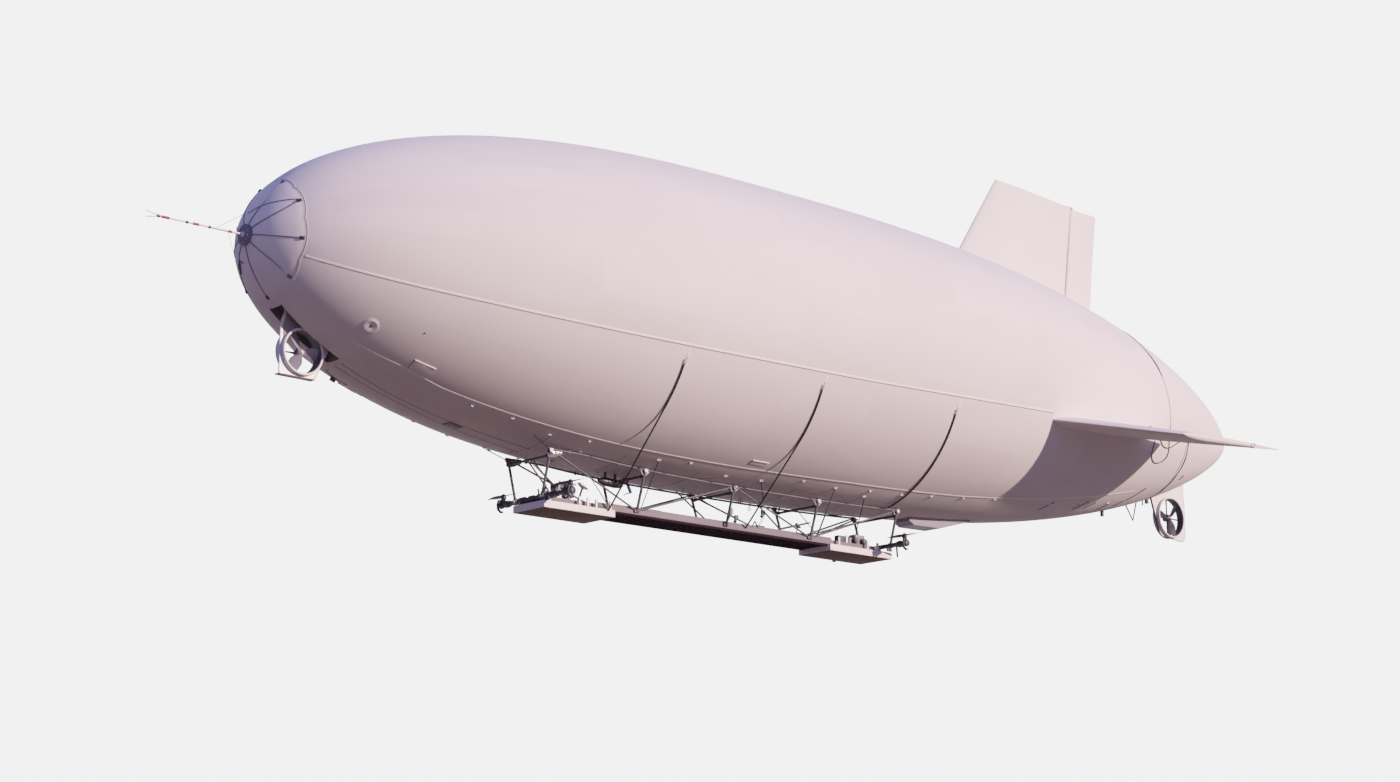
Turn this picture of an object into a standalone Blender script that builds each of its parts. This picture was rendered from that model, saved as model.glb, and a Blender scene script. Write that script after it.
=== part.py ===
# A 1:10 scale model of a non-rigid airship: gas envelope, three tail fins, an open truss
# gondola with four tilting propellers, and ducted side thrusters at bow and stern.
# Frame: +X forward to the nose, +Y to port, +Z up, origin on the hull's axis at the lift centre.
# A station is a distance aft of the nose tip. Sizes are in metres.
import math

import bmesh
import bpy
from mathutils import Matrix, Vector

# Fits
GAP = 0.0003            # between touching pieces
RUN = 0.006             # between moving pieces and their neighbours

# Envelope
NOSE_X = 5.130          # nose tip, forward of the lift centre
HULL_RADIUS = 1.286
FORE_LENGTH = 4.536     # nose tip to the widest station
AFT_LENGTH = 6.764      # widest station to the tail tip
FORE_POWER = 2.63
FORE_FULLNESS = 0.512
AFT_POWER = 2.595
AFT_FULLNESS = 0.757
SKIN = 0.010
HULL_SEGMENTS = 48
FORE_ROWS = 11
AFT_ROWS = 14

# Nose disc, battens and air-data boom
DISC_RADIUS = 0.078
DISC_PROUD = 0.022
DISC_BACK = 0.060       # station of the disc's back, before it is cut to the skin
BOOM_BORE_HALF = 0.100
BATTEN_START = 0.001    # station under the disc where a batten starts
BATTEN_STEPS = 9
BATTEN_BURIED = 0.050   # its inner side, inside the skin before it is cut to it
BATTEN_COUNT = 9
BATTEN_END = 0.205      # station where a batten ends
BATTEN_HEIGHT = 0.010
BATTEN_WIDTH = 0.012
BOOM_RADIUS = 0.008
BOOM_LENGTH = 0.680
FORK_LENGTH = 0.090
FORK_HALF = 0.022

# Gas valves
VALVE_STATION = 0.747
VALVE_ANGLE = -52.6     # degrees round the hull, 0 at port, 90 at the top
VALVE_RADIUS = 0.052
VALVE_PROUD = 0.008
VALVE_DEPTH = 0.030

# Fins, in each fin's own plane: aft of, and outboard of, its leading edge root
FIN_ROOT_STATION = 7.387
FIN_SPAN = 0.915
FIN_SWEEP = 0.632       # leading edge, root to tip
FIN_TIP_DROP = 0.081    # the tip edge falls this much from front to back
FIN_TIP_CHORD = 1.455
FIN_ROOT_CHORD = 1.947  # to the trailing edge, in line with the root
HINGE_BEFORE_EDGE = 0.370
FIN_THICKNESS = 0.110
FIN_TIP_THICKNESS = 0.066
FIN_EDGE_THICKNESS = 0.010
FIN_THICKEST = 0.32     # share of the fixed fin's chord, from the leading edge
HINGE_SHARE = 0.30      # half thickness at the hinge, as a share of the fin's thickness
FIN_BURIED = 0.450      # inner end before it is cut to the hull
SURFACE_ROOT = 0.110    # inner end of the rudder and elevators at the hinge, inboard of the root point
SURFACE_ROOT_SLOPE = 0.24       # it follows the hull inwards, towards its trailing edge
SIDE_FIN_ANGLE = -22.0  # where the side fins' leading edges meet the hull
SIDE_FIN_DROOP = 13.0
SIDE_FIN_INCIDENCE = 2.2
HINGE_TUBE = 0.012
LUG_THICKNESS = 0.012
LUG_RADIUS = 0.024
LUG_ARM_BURIED = 0.020  # a lug's arm, inside the fin

# Side thrusters: ducted fans that blow across the hull
BOW_DUCT_STATION = 0.476
BOW_DUCT_BELOW = 0.135      # axis of the duct, below the belly at its station
BOW_DUCT_RADIUS = 0.172
STERN_DUCT_STATION = 10.380
STERN_DUCT_BELOW = 0.265
STERN_DUCT_RADIUS = 0.199
DUCT_WALL = 0.019
DUCT_WIDTH = 0.090
PLATE_THICKNESS = 0.012
PLATE_TO_PORT = 0.020       # middle of a plate, to port of the centre plane
FAN_TO_PORT = 0.016
FAN_TIP_GAP = 0.008
FAN_HUB = 0.030
FAN_HUB_LENGTH = 0.030
FAN_CHORD = 0.084
FAN_ROOT_CHORD = 0.044
FAN_SHOULDER = 0.35     # share of the way from hub to duct where a blade reaches its full chord
FAN_BLADE_THICKNESS = 0.007
FAN_PITCH = 26.0
BOW_FAN_TURNED = 30.0   # first blade, about the duct's axis
STERN_FAN_TURNED = 75.0
STATOR_RADIUS = 0.007
# Outlines of the plates round their ducts: forward, up, from the duct's axis
BOW_PLATE = [(0.180, -0.178), (-0.112, -0.182), (-0.250, 0.085), (-0.235, 0.300), (0.120, 0.340),
             (0.150, 0.259), (0.178, 0.180)]
STERN_PLATE = [(0.262, 0.190), (0.135, -0.160), (0.110, -0.185), (-0.190, -0.215), (-0.232, -0.190),
               (-0.238, 0.380)]
# Recess in the belly that takes the top of the bow duct
RECESS_STATION = 0.262
RECESS_LENGTH = 0.500
RECESS_DEPTH = 0.100
RECESS_HALF = 0.078
RECESS_STEPS = 6

# Gondola
FRAME_STATION = 2.551   # first truss frame
FRAME_PITCH = 0.942
FRAME_COUNT = 5
RAIL_HALF = 0.256       # top rails, from the centre plane
RAIL_RADIUS = 0.012
RAIL_STEPS = 16
RAIL_INSIDE = 0.064     # a rail goes no higher than this above the lowest line of the belly
POST_RADIUS = 0.010
BRACE_RADIUS = 0.007
PAD = (0.040, 0.022, 0.030)     # half sizes of the pad on top of a post
FOOT = (0.026, 0.007, 0.012)    # half sizes of the foot at the deck's side
CROSS_BAR_BELOW = 0.005         # cross bars, below the pads
PLATFORM_BELOW = 0.308  # top of the platforms, below the lowest line of the belly
PLATFORM_TOP = -HULL_RADIUS - PLATFORM_BELOW
PLATFORM_DEPTH = 0.056
PLATFORM_HALF = 0.186
FRONT_PLATFORM = 0.698
REAR_PLATFORM = 0.737
DECK_HALF = 0.150
DECK_PLANK = 0.038
DECK_RIB = 0.018
DECK_RIB_PITCH = 0.060

# Propellers and their tilting heads
BOOM_ABOVE_PLATFORM = 0.046
BOOM_HEIGHT = PLATFORM_TOP + BOOM_ABOVE_PLATFORM
CROSS_BOOM_RADIUS = 0.018
CROSS_BOOM_HALF = 0.335
FRONT_BOOM_BEHIND = 0.075       # behind the first truss frame
REAR_BOOM_BEFORE = 0.071        # before the last truss frame
BOOM_CLEARANCE = 0.006          # between a cross-boom and the deck's end
STAND_HALF = 0.012
STAND_SIDE = 0.100              # stands of a cross-boom, from the centre plane
PROP_STRUT_REACH = 0.130        # foot of the rear boom's struts, behind the boom
HEAD_RADIUS = 0.028
HEAD_LENGTH = 0.100
NECK_RADIUS = 0.020
NECK_HEIGHT = 0.055
PROP_AXIS = 0.400       # propeller axis from the centre plane
PROP_RADIUS = 0.200
PROP_HUB = 0.022
PROP_HUB_HEIGHT = 0.030
BLADE_CHORD = 0.036
BLADE_THICKNESS = 0.006
BLADE_PITCH = 16.0

# Engines, as plain blocks
ENGINE_LENGTH = 0.260
ENGINE_WIDTH = 0.150
ENGINE_HEIGHT = 0.110
ENGINE_FROM_BOOM = 0.060

# Stays from the envelope's side down to the gondola
STAY_RADIUS = 0.005
STAY_PATCH = 0.018      # radius of the patch that anchors a stay to the envelope
STAY_PATCH_DEPTH = 0.030
STAY_STEPS = 8          # of the part that lies on the hull
STAY_FOOT_DROP = 0.010  # front stay's foot, below the platform's top
# Name, station and angle of the top, truss frame of the foot and its distance aft of that frame
STAYS = (
    ("stay_front", 3.138, -29.7, 0, 0.625),
    ("stay_middle", 4.552, -28.3, 2, 0.215),
    ("stay_rear", 6.109, -27.3, 4, -0.129),
)

# Keel box
FAIRING_BEHIND = 0.331  # behind the last truss frame
FAIRING_LENGTH = 0.780
FAIRING_HALF = 0.090
FAIRING_DEPTH = 0.060
FAIRING_END_DEPTH = 0.012
FAIRING_INSIDE = 0.340  # upper side, inside the hull before it is cut to it

# Materials: colour, roughness, metallic
FINISHES = {
    "envelope_fabric": ((0.62, 0.55, 0.60), 0.45, 0.0),
    "fin_fabric": ((0.64, 0.57, 0.60), 0.45, 0.0),
    "dark_tube": ((0.06, 0.05, 0.07), 0.5, 0.3),
    "white_paint": ((0.80, 0.76, 0.80), 0.4, 0.0),
    "deck_panel": ((0.70, 0.64, 0.68), 0.5, 0.0),
    "dark_metal": ((0.10, 0.09, 0.11), 0.45, 0.6),
    "rope_black": ((0.03, 0.03, 0.04), 0.8, 0.0),
    "engine_grey": ((0.30, 0.28, 0.32), 0.45, 0.5),
}

for old in list(bpy.data.objects):
    bpy.data.objects.remove(old, do_unlink=True)


def collection(name):
    group = bpy.data.collections.new(name)
    bpy.context.scene.collection.children.link(group)
    return group


PARTS = collection("scale_model_airship")
CUTTERS = collection("cutters")


def finish(name):
    material = bpy.data.materials.get(name)
    if material is None:
        colour, roughness, metallic = FINISHES[name]
        material = bpy.data.materials.new(name)
        material.use_nodes = True
        shader = material.node_tree.nodes["Principled BSDF"]
        shader.inputs["Base Color"].default_value = (*colour, 1.0)
        shader.inputs["Roughness"].default_value = roughness
        shader.inputs["Metallic"].default_value = metallic
    return material


# Shared shape helpers

def x_at(station):
    return NOSE_X - station


def hull_radius(station):
    """Radius of the envelope at a station."""
    if station < FORE_LENGTH:
        share = 1.0 - max(station, 0.0) / FORE_LENGTH
        return HULL_RADIUS * (1.0 - share ** FORE_POWER) ** FORE_FULLNESS
    share = min((station - FORE_LENGTH) / AFT_LENGTH, 1.0)
    return HULL_RADIUS * (1.0 - share ** AFT_POWER) ** AFT_FULLNESS


def hull_point(station, degrees, proud=0.0):
    """Point on the envelope, its angle measured from port up to the top."""
    radius = hull_radius(station) + proud
    angle = math.radians(degrees)
    return Vector((x_at(station), radius * math.cos(angle), radius * math.sin(angle)))


def hull_normal(station, degrees):
    step = 0.01
    rise = (hull_radius(station + step) - hull_radius(station - step)) / (2 * step)
    angle = math.radians(degrees)
    return Vector((rise, math.cos(angle), math.sin(angle))).normalized()


def mesh_object(name, bm):
    mesh = bpy.data.meshes.new(name)
    bmesh.ops.recalc_face_normals(bm, faces=bm.faces)
    bm.to_mesh(mesh)
    bm.free()
    made = bpy.data.objects.new(name, mesh)
    PARTS.objects.link(made)
    return made


def cutter(made):
    for group in list(made.users_collection):
        group.objects.unlink(made)
    CUTTERS.objects.link(made)
    made.hide_render = True
    made.display_type = "WIRE"
    return made


def aim(direction):
    """Rotation that turns +Z to a direction."""
    return Vector((0, 0, 1)).rotation_difference(Vector(direction)).to_matrix().to_4x4()


def box(name, low, high):
    low, high = Vector(low), Vector(high)
    bm = bmesh.new()
    size = Matrix.Diagonal((*(high - low), 1.0))
    bmesh.ops.create_cube(bm, size=1.0, matrix=Matrix.Translation((low + high) / 2) @ size)
    return mesh_object(name, bm)


def rod(name, start, end, radius, end_radius=None, sides=8):
    """A straight round bar from start to end."""
    start, end = Vector(start), Vector(end)
    bm = bmesh.new()
    place = Matrix.Translation((start + end) / 2) @ aim(end - start)
    bmesh.ops.create_cone(bm, cap_ends=True, segments=sides, radius1=radius,
                          radius2=radius if end_radius is None else end_radius,
                          depth=(end - start).length, matrix=place)
    return mesh_object(name, bm)


def slab(name, outline, place, low, high):
    """A flat outline in a local XY plane, from low to high along its local Z."""
    bm = bmesh.new()
    face = bm.faces.new([bm.verts.new((u, v, low)) for u, v in outline])
    raised = bmesh.ops.extrude_face_region(bm, geom=[face])["geom"]
    bmesh.ops.translate(bm, vec=(0, 0, high - low),
                        verts=[v for v in raised if isinstance(v, bmesh.types.BMVert)])
    bm.transform(place)
    return mesh_object(name, bm)


def bent_tube(name, points, radius):
    """A tube along a list of points, made a closed mesh."""
    curve = bpy.data.curves.new(name, "CURVE")
    curve.dimensions = "3D"
    curve.bevel_depth = radius
    curve.bevel_resolution = 1
    curve.use_fill_caps = True
    line = curve.splines.new("POLY")
    line.points.add(len(points) - 1)
    for spot, point in zip(line.points, points):
        spot.co = (*point, 1.0)
    guide = bpy.data.objects.new(name + "_line", curve)
    PARTS.objects.link(guide)
    return as_mesh(guide, name)


def as_mesh(source, name=None, nested=False):
    """The evaluated object as a plain mesh in its place. A nested shell keeps its inward faces."""
    name = name or source.name
    bpy.context.view_layer.update()
    mesh = bpy.data.meshes.new_from_object(source.evaluated_get(bpy.context.evaluated_depsgraph_get()))
    bm = bmesh.new()
    bm.from_mesh(mesh)
    bmesh.ops.remove_doubles(bm, verts=bm.verts, dist=0.00001)
    if not nested:
        bmesh.ops.recalc_face_normals(bm, faces=bm.faces)
    bm.to_mesh(mesh)
    bm.free()
    place = source.matrix_world.copy()
    group = source.users_collection[0]
    bpy.data.objects.remove(source, do_unlink=True)
    made = bpy.data.objects.new(name, mesh)
    made.data.name = name
    made.matrix_world = place
    group.objects.link(made)
    return made


def combine(target, tool, operation):
    step = target.modifiers.new(operation.lower(), "BOOLEAN")
    step.operation = operation
    step.solver = "EXACT"
    step.object = tool
    return as_mesh(target, target.name)


def weld(name, pieces):
    """Joins overlapping pieces into one closed body."""
    body = pieces[0]
    for piece in pieces[1:]:
        body = combine(body, piece, "UNION")
        bpy.data.objects.remove(piece, do_unlink=True)
    body.name = name
    return body


def cut(target, tool, keep_tool=False):
    body = combine(target, tool, "DIFFERENCE")
    if not keep_tool:
        bpy.data.objects.remove(tool, do_unlink=True)
    return body


def done(made, material, smooth=0.0):
    """Gives a piece its material, and smooth shading below an angle in degrees."""
    made.data.materials.clear()
    made.data.materials.append(finish(material))
    if smooth:
        made.data.shade_smooth()
        made.data.set_sharp_from_angle(angle=math.radians(smooth))
    return made


def pivot(name, spot):
    holder = bpy.data.objects.new(name, None)
    holder.location = spot
    PARTS.objects.link(holder)
    bpy.context.view_layer.update()
    return holder


def hang(piece, holder):
    """Parents a piece to an empty on its joint's axis and leaves it in place."""
    piece.parent = holder
    piece.matrix_parent_inverse = holder.matrix_world.inverted()


# Envelope

def hull_stations():
    """Rows from nose to tail, closer together at both ends."""
    rows = []
    for row in range(FORE_ROWS + 1):
        rows.append(FORE_LENGTH * (1.0 - math.cos(0.5 * math.pi * row / FORE_ROWS)))
    for row in range(1, AFT_ROWS + 1):
        rows.append(FORE_LENGTH + AFT_LENGTH * math.sin(0.5 * math.pi * row / AFT_ROWS))
    return rows


def spindle(name, grow=0.0):
    """The hull's outer skin as a turned profile, nose up, then laid along +X."""
    mesh = bpy.data.meshes.new(name)
    rows = hull_stations()
    profile = []
    for index, station in enumerate(rows):
        at_end = index in (0, len(rows) - 1)
        before = rows[max(index - 1, 0)]
        after = rows[min(index + 1, len(rows) - 1)]
        slope = Vector((hull_radius(after) - hull_radius(before), 0, after - before)).normalized()
        radius = 0.0 if at_end else hull_radius(station) + grow * slope.z
        height = -station + (grow if index == 0 else -grow if at_end else grow * slope.x)
        profile.append((radius, 0.0, height))
    mesh.from_pydata(profile, [(i, i + 1) for i in range(len(profile) - 1)], [])
    made = bpy.data.objects.new(name, mesh)
    PARTS.objects.link(made)
    turn = made.modifiers.new("turn", "SCREW")
    turn.steps = HULL_SEGMENTS
    turn.render_steps = HULL_SEGMENTS
    turn.use_merge_vertices = True
    turn.merge_threshold = 0.0001
    made.location = (NOSE_X, 0, 0)
    made.rotation_euler = (0, math.radians(90), 0)
    return made


def hull_cutter(name, grow=GAP):
    return cutter(as_mesh(spindle(name, grow)))


def envelope():
    """A thin closed skin, open only where the gas valves sit."""
    made = spindle("envelope")
    skin = made.modifiers.new("skin", "SOLIDIFY")
    skin.thickness = SKIN
    skin.offset = -1.0
    made = as_mesh(made, nested=True)
    for side in (1, -1):
        hole = cutter(valve_plug("valve_hole", side, VALVE_RADIUS + 2 * GAP, 2 * VALVE_DEPTH))
        made = cut(made, hole)
    core = hull_cutter("core_fit", -SKIN / 2)
    lining = combine(recess("recess_lining", SKIN), core, "INTERSECT")
    bpy.data.objects.remove(core, do_unlink=True)
    made = weld("envelope", [made, lining])
    made = cut(made, cutter(recess("recess_room")))
    return done(made, "envelope_fabric", 40)


def recess(name, grow=0.0):
    """The room for the top of the bow duct, its ceiling parallel to the belly."""
    outline = []
    for step in range(RECESS_STEPS + 1):
        station = RECESS_STATION - grow + (RECESS_LENGTH + 2 * grow) * step / RECESS_STEPS
        outline.append((x_at(station), RECESS_DEPTH + grow - hull_radius(station)))
    below = -hull_radius(RECESS_STATION + RECESS_LENGTH) - RECESS_DEPTH
    outline += [(outline[-1][0], below), (outline[0][0], below)]
    turn = Matrix.Rotation(math.radians(90), 4, "X")
    return slab(name, outline, turn, -RECESS_HALF - grow, RECESS_HALF + grow)


def valve_plug(name, side, radius, depth=VALVE_DEPTH):
    """A short drum across the skin, for a valve or for its hole."""
    centre = hull_point(VALVE_STATION, VALVE_ANGLE)
    out = hull_normal(VALVE_STATION, VALVE_ANGLE)
    centre.y *= side
    out.y *= side
    return rod(name, centre - out * depth, centre + out * VALVE_PROUD, radius, sides=24)


def gas_valves():
    for name, side in (("gas_valve_port", 1), ("gas_valve_starboard", -1)):
        done(valve_plug(name, side, VALVE_RADIUS), "dark_metal", 40)


# Nose

def nose_cone(skin_cutter):
    """The mooring disc with the battens that spread its load over the nose."""
    disc = rod("disc", (x_at(DISC_BACK), 0, 0), (NOSE_X + DISC_PROUD, 0, 0), DISC_RADIUS, sides=32)
    pieces = [disc]
    outer, inner = [], []
    for step in range(BATTEN_STEPS + 1):
        row = BATTEN_START + (BATTEN_END - BATTEN_START) * (step / BATTEN_STEPS) ** 2
        face = hull_point(row, 0.0) + BATTEN_HEIGHT * hull_normal(row, 0.0)
        outer.append((face.x, face.y))
        inner.append((x_at(row) - BATTEN_BURIED, max(hull_radius(row) - BATTEN_BURIED, BATTEN_WIDTH)))
    outline = outer + inner[::-1]
    for index in range(BATTEN_COUNT):
        angle = -90.0 + index * 360.0 / BATTEN_COUNT
        # local X along the hull, local Y outwards, local Z round it
        place = Matrix.Rotation(math.radians(angle), 4, "X")
        pieces.append(slab("batten", outline, place, -BATTEN_WIDTH / 2, BATTEN_WIDTH / 2))
    body = weld("nose_cone", pieces)
    body = cut(body, skin_cutter, keep_tool=True)
    body = cut(body, cutter(rod("boom_bore", (NOSE_X - BOOM_BORE_HALF, 0, 0), (NOSE_X + BOOM_BORE_HALF, 0, 0),
                                BOOM_RADIUS / math.cos(math.pi / 12) + GAP, sides=12)))
    return done(body, "dark_metal", 30)


def nose_boom():
    """The long air-data boom, with a fork at its tip."""
    root = NOSE_X + GAP
    tip = NOSE_X + DISC_PROUD + BOOM_LENGTH
    pieces = [rod("boom", (root, 0, 0), (tip, 0, 0), BOOM_RADIUS, BOOM_RADIUS * 0.7, sides=12)]
    for side in (1, -1):
        pieces.append(rod("fork", (tip - 0.01, 0, 0), (tip + FORK_LENGTH, 0, side * FORK_HALF),
                          BOOM_RADIUS * 0.6, BOOM_RADIUS * 0.45, sides=8))
    return done(weld("nose_boom", pieces), "white_paint", 40)


# Fins

def fin_frame(kind):
    """Local axes of a fin: aft, outboard and normal, at its leading edge root."""
    if kind == "top":
        place = Vector((x_at(FIN_ROOT_STATION), 0, hull_radius(FIN_ROOT_STATION)))
        aft, out = Vector((-1, 0, 0)), Vector((0, 0, 1))
    else:
        side = 1 if kind == "port" else -1
        place = hull_point(FIN_ROOT_STATION, SIDE_FIN_ANGLE)
        place.y *= side
        droop = math.radians(SIDE_FIN_DROOP)
        out = Vector((0, side * math.cos(droop), -math.sin(droop)))
        aft = Matrix.Rotation(side * math.radians(SIDE_FIN_INCIDENCE), 3, out) @ Vector((-1, 0, 0))
    normal = aft.cross(out)
    turn = Matrix((aft, out, normal)).transposed().to_4x4()
    return Matrix.Translation(place) @ turn


def edge_at(out):
    """Leading edge and trailing edge of the whole fin, at a distance outboard of its root."""
    lead = FIN_SWEEP * out / FIN_SPAN
    tip_edge = FIN_SWEEP + FIN_TIP_CHORD
    trail = FIN_ROOT_CHORD + (tip_edge - FIN_ROOT_CHORD) * out / FIN_SPAN
    return lead, trail


def hinge_at(out):
    return edge_at(out)[1] - HINGE_BEFORE_EDGE


def tip_at(aft):
    """Outboard distance of the tip edge at a distance aft."""
    return FIN_SPAN - FIN_TIP_DROP * (aft - FIN_SWEEP) / FIN_TIP_CHORD


def thickness_at(out):
    share = out / FIN_SPAN
    return FIN_THICKNESS + (FIN_TIP_THICKNESS - FIN_THICKNESS) * share


def hinge_radius(out):
    """Half thickness at the hinge, which is also the surface's rounded nose."""
    return HINGE_SHARE * thickness_at(out)


def loft(name, place, inner, outer):
    """A closed body between two rings of points in a fin's own axes."""
    bm = bmesh.new()
    rings = [[bm.verts.new(place @ Vector(point)) for point in ring] for ring in (inner, outer)]
    bm.faces.new(rings[0])
    bm.faces.new(rings[1])
    count = len(inner)
    for index in range(count):
        after = (index + 1) % count
        bm.faces.new((rings[0][index], rings[0][after], rings[1][after], rings[1][index]))
    return mesh_object(name, bm)


def fixed_section(out):
    """Ring of the fixed fin at an outboard distance: rounded nose, flat back."""
    lead = edge_at(out)[0]
    back = hinge_at(out) - hinge_radius(out) - RUN
    half = thickness_at(out) / 2
    back_half = hinge_radius(out)
    shares = (0.0, 0.02, 0.07, 0.16, FIN_THICKEST, 0.55, 0.80, 1.0)
    upper = []
    for share in shares:
        nose = math.sqrt(max(1.0 - (1.0 - min(share / FIN_THICKEST, 1.0)) ** 2, 0.0))
        taper = max(share - FIN_THICKEST, 0.0) / (1.0 - FIN_THICKEST)
        thick = half * nose * (1.0 - taper) + back_half * taper
        upper.append((lead + (back - lead) * share, thick))
    ring = [(aft, thick) for aft, thick in upper] + [(aft, -thick) for aft, thick in reversed(upper[1:])]
    return [(aft, min(out, tip_at(aft)) if out > 0 else out, thick) for aft, thick in ring]


def moving_section(out):
    """Ring of a control surface: a nose rounded about the hinge, tapering to the trailing edge."""
    hinge = hinge_at(out)
    nose = hinge_radius(out)
    trail = edge_at(out)[1]
    ring = []
    for step in range(9):
        angle = math.pi * (0.5 + step / 8)
        ring.append((hinge + nose * math.cos(angle), nose * math.sin(angle)))
    ring += [(trail, -FIN_EDGE_THICKNESS / 2), (trail, FIN_EDGE_THICKNESS / 2)]
    if out < 0:
        return [(aft, out - SURFACE_ROOT_SLOPE * (aft - hinge), thick) for aft, thick in ring]
    limit = tip_at(hinge) - LUG_THICKNESS - RUN
    return [(aft, min(out, limit), thick) for aft, thick in ring]


def fin_set(kind, fin_name, surface_name, skin_cutter):
    place = fin_frame(kind)
    fin = loft(fin_name, place, fixed_section(-FIN_BURIED), fixed_section(FIN_SPAN))
    moving = loft(surface_name, place, moving_section(-SURFACE_ROOT), moving_section(FIN_SPAN))
    tip_end = tip_at(hinge_at(FIN_SPAN))
    hinge_tip = Vector((hinge_at(tip_end), tip_end, 0))
    hinge_root = Vector((hinge_at(-SURFACE_ROOT), -SURFACE_ROOT, 0))
    along = (hinge_tip - hinge_root).normalized()
    # Lugs on the fin, outboard of the surface's tip and inboard of its sloping root
    root_run = RUN + LUG_RADIUS * SURFACE_ROOT_SLOPE
    ends = ((hinge_tip - along * LUG_THICKNESS, hinge_tip),
            (hinge_root - along * (root_run + LUG_THICKNESS), hinge_root - along * root_run))
    lugs = []
    for low, high in ends:
        lugs.append(rod("lug", place @ low, place @ high, LUG_RADIUS, sides=16))
        reach = hinge_radius(low.y) + RUN + LUG_ARM_BURIED
        arm = box("arm", (-reach, 0, -LUG_RADIUS / 2), (0, (high - low).length, LUG_RADIUS / 2))
        arm.data.transform(place @ Matrix.Translation(low) @ plane_turn(along))
        lugs.append(arm)
    fin = weld(fin_name, [fin] + lugs)
    fin = cut(fin, skin_cutter, keep_tool=True)
    start = place @ (ends[1][0] - along * LUG_RADIUS)
    stop = place @ (ends[0][1] + along * LUG_RADIUS)
    fin = cut(fin, cutter(rod("hinge_bore", start, stop,
                              HINGE_TUBE / math.cos(math.pi / 16) + GAP, sides=16)))
    tube = rod("hinge_tube", place @ ends[1][0], place @ ends[0][1], HINGE_TUBE, sides=16)
    moving = weld(surface_name, [moving, tube])
    done(fin, "fin_fabric", 30)
    done(moving, "fin_fabric", 30)
    holder = pivot(surface_name + "_hinge", place @ hinge_root)
    hang(moving, holder)


def plane_turn(along):
    """Turns local +Y to a direction in the fin's plane."""
    return Matrix.Rotation(math.atan2(-along.x, along.y), 4, "Z")


# Side thrusters

def thruster(name, station, below, radius, plate, first_blade, skin_cutter):
    """A duct in its plate, with stator bars, motor and fan."""
    middle = Vector((x_at(station), 0, -hull_radius(station) - below))
    half = DUCT_WIDTH / 2
    bore = radius - DUCT_WALL
    side = Matrix.Translation(middle) @ Matrix.Rotation(math.radians(90), 4, "X")
    sheet = slab("sheet", plate, side, -PLATE_TO_PORT - PLATE_THICKNESS / 2,
                 -PLATE_TO_PORT + PLATE_THICKNESS / 2)
    ring = rod("ring", middle - Vector((0, half, 0)), middle + Vector((0, half, 0)), radius, sides=32)
    body = weld("shell", [ring, sheet])
    reach = Vector((0, DUCT_WIDTH, 0))
    body = cut(body, cutter(rod("throat", middle - reach, middle + reach, bore, sides=32)))
    # The stator and the motor sit on the starboard side of the fan
    back = middle + Vector((0, STATOR_RADIUS * 2 - half, 0))
    pieces = [body]
    for turned in range(4):
        angle = math.radians(90 * turned)
        rim = Vector((math.cos(angle), 0, math.sin(angle))) * (radius - DUCT_WALL / 2)
        pieces.append(rod("stator", back, back + rim, STATOR_RADIUS, sides=8))
    fan_low = FAN_TO_PORT - FAN_HUB_LENGTH / 2
    pieces.append(rod("motor", middle - Vector((0, half, 0)), middle + Vector((0, fan_low - GAP, 0)),
                      FAN_HUB, sides=16))
    frame = cut(weld(name + "_frame", pieces), skin_cutter, keep_tool=True)
    done(frame, "white_paint", 30)
    hub_middle = middle + Vector((0, FAN_TO_PORT, 0))
    blades = [rod("hub", middle + Vector((0, fan_low, 0)), middle + Vector((0, fan_low + FAN_HUB_LENGTH, 0)),
                  FAN_HUB, sides=16)]
    blade_end = math.sqrt((bore - FAN_TIP_GAP) ** 2 - (FAN_CHORD / 2) ** 2)
    shoulder = FAN_HUB + (bore - FAN_HUB) * FAN_SHOULDER
    outline = [(FAN_ROOT_CHORD / 2, FAN_HUB / 2), (FAN_CHORD / 2, shoulder), (FAN_CHORD / 2, blade_end)]
    outline += [(-across, out) for across, out in reversed(outline)]
    for turned in range(3):
        place = Matrix.Translation(hub_middle)
        place = place @ Matrix.Rotation(math.radians(120 * turned + first_blade), 4, "Y")
        place = place @ Matrix.Rotation(math.radians(FAN_PITCH), 4, "Z")
        place = place @ Matrix.Rotation(math.radians(90), 4, "X")
        blades.append(slab("blade", outline, place, -FAN_BLADE_THICKNESS / 2, FAN_BLADE_THICKNESS / 2))
    fan = done(weld(name + "_fan", blades), "dark_metal", 30)
    hang(fan, pivot(name + "_spin", hub_middle))


# Gondola

def frame_station(index):
    return FRAME_STATION + FRAME_PITCH * index


def rail_height(station):
    """Centre of a top rail, laid against the hull's belly or level under it."""
    radius = hull_radius(station)
    return min(RAIL_INSIDE - HULL_RADIUS, -math.sqrt(radius ** 2 - RAIL_HALF ** 2) - RAIL_RADIUS - GAP)


def deck_top():
    return PLATFORM_TOP + GAP + DECK_PLANK


def truss_nodes(index, side):
    station = frame_station(index)
    top = Vector((x_at(station), side * RAIL_HALF, rail_height(station)))
    low = Vector((x_at(station), side * (DECK_HALF + GAP + FOOT[1]), deck_top() - FOOT[2]))
    return top, low


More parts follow.
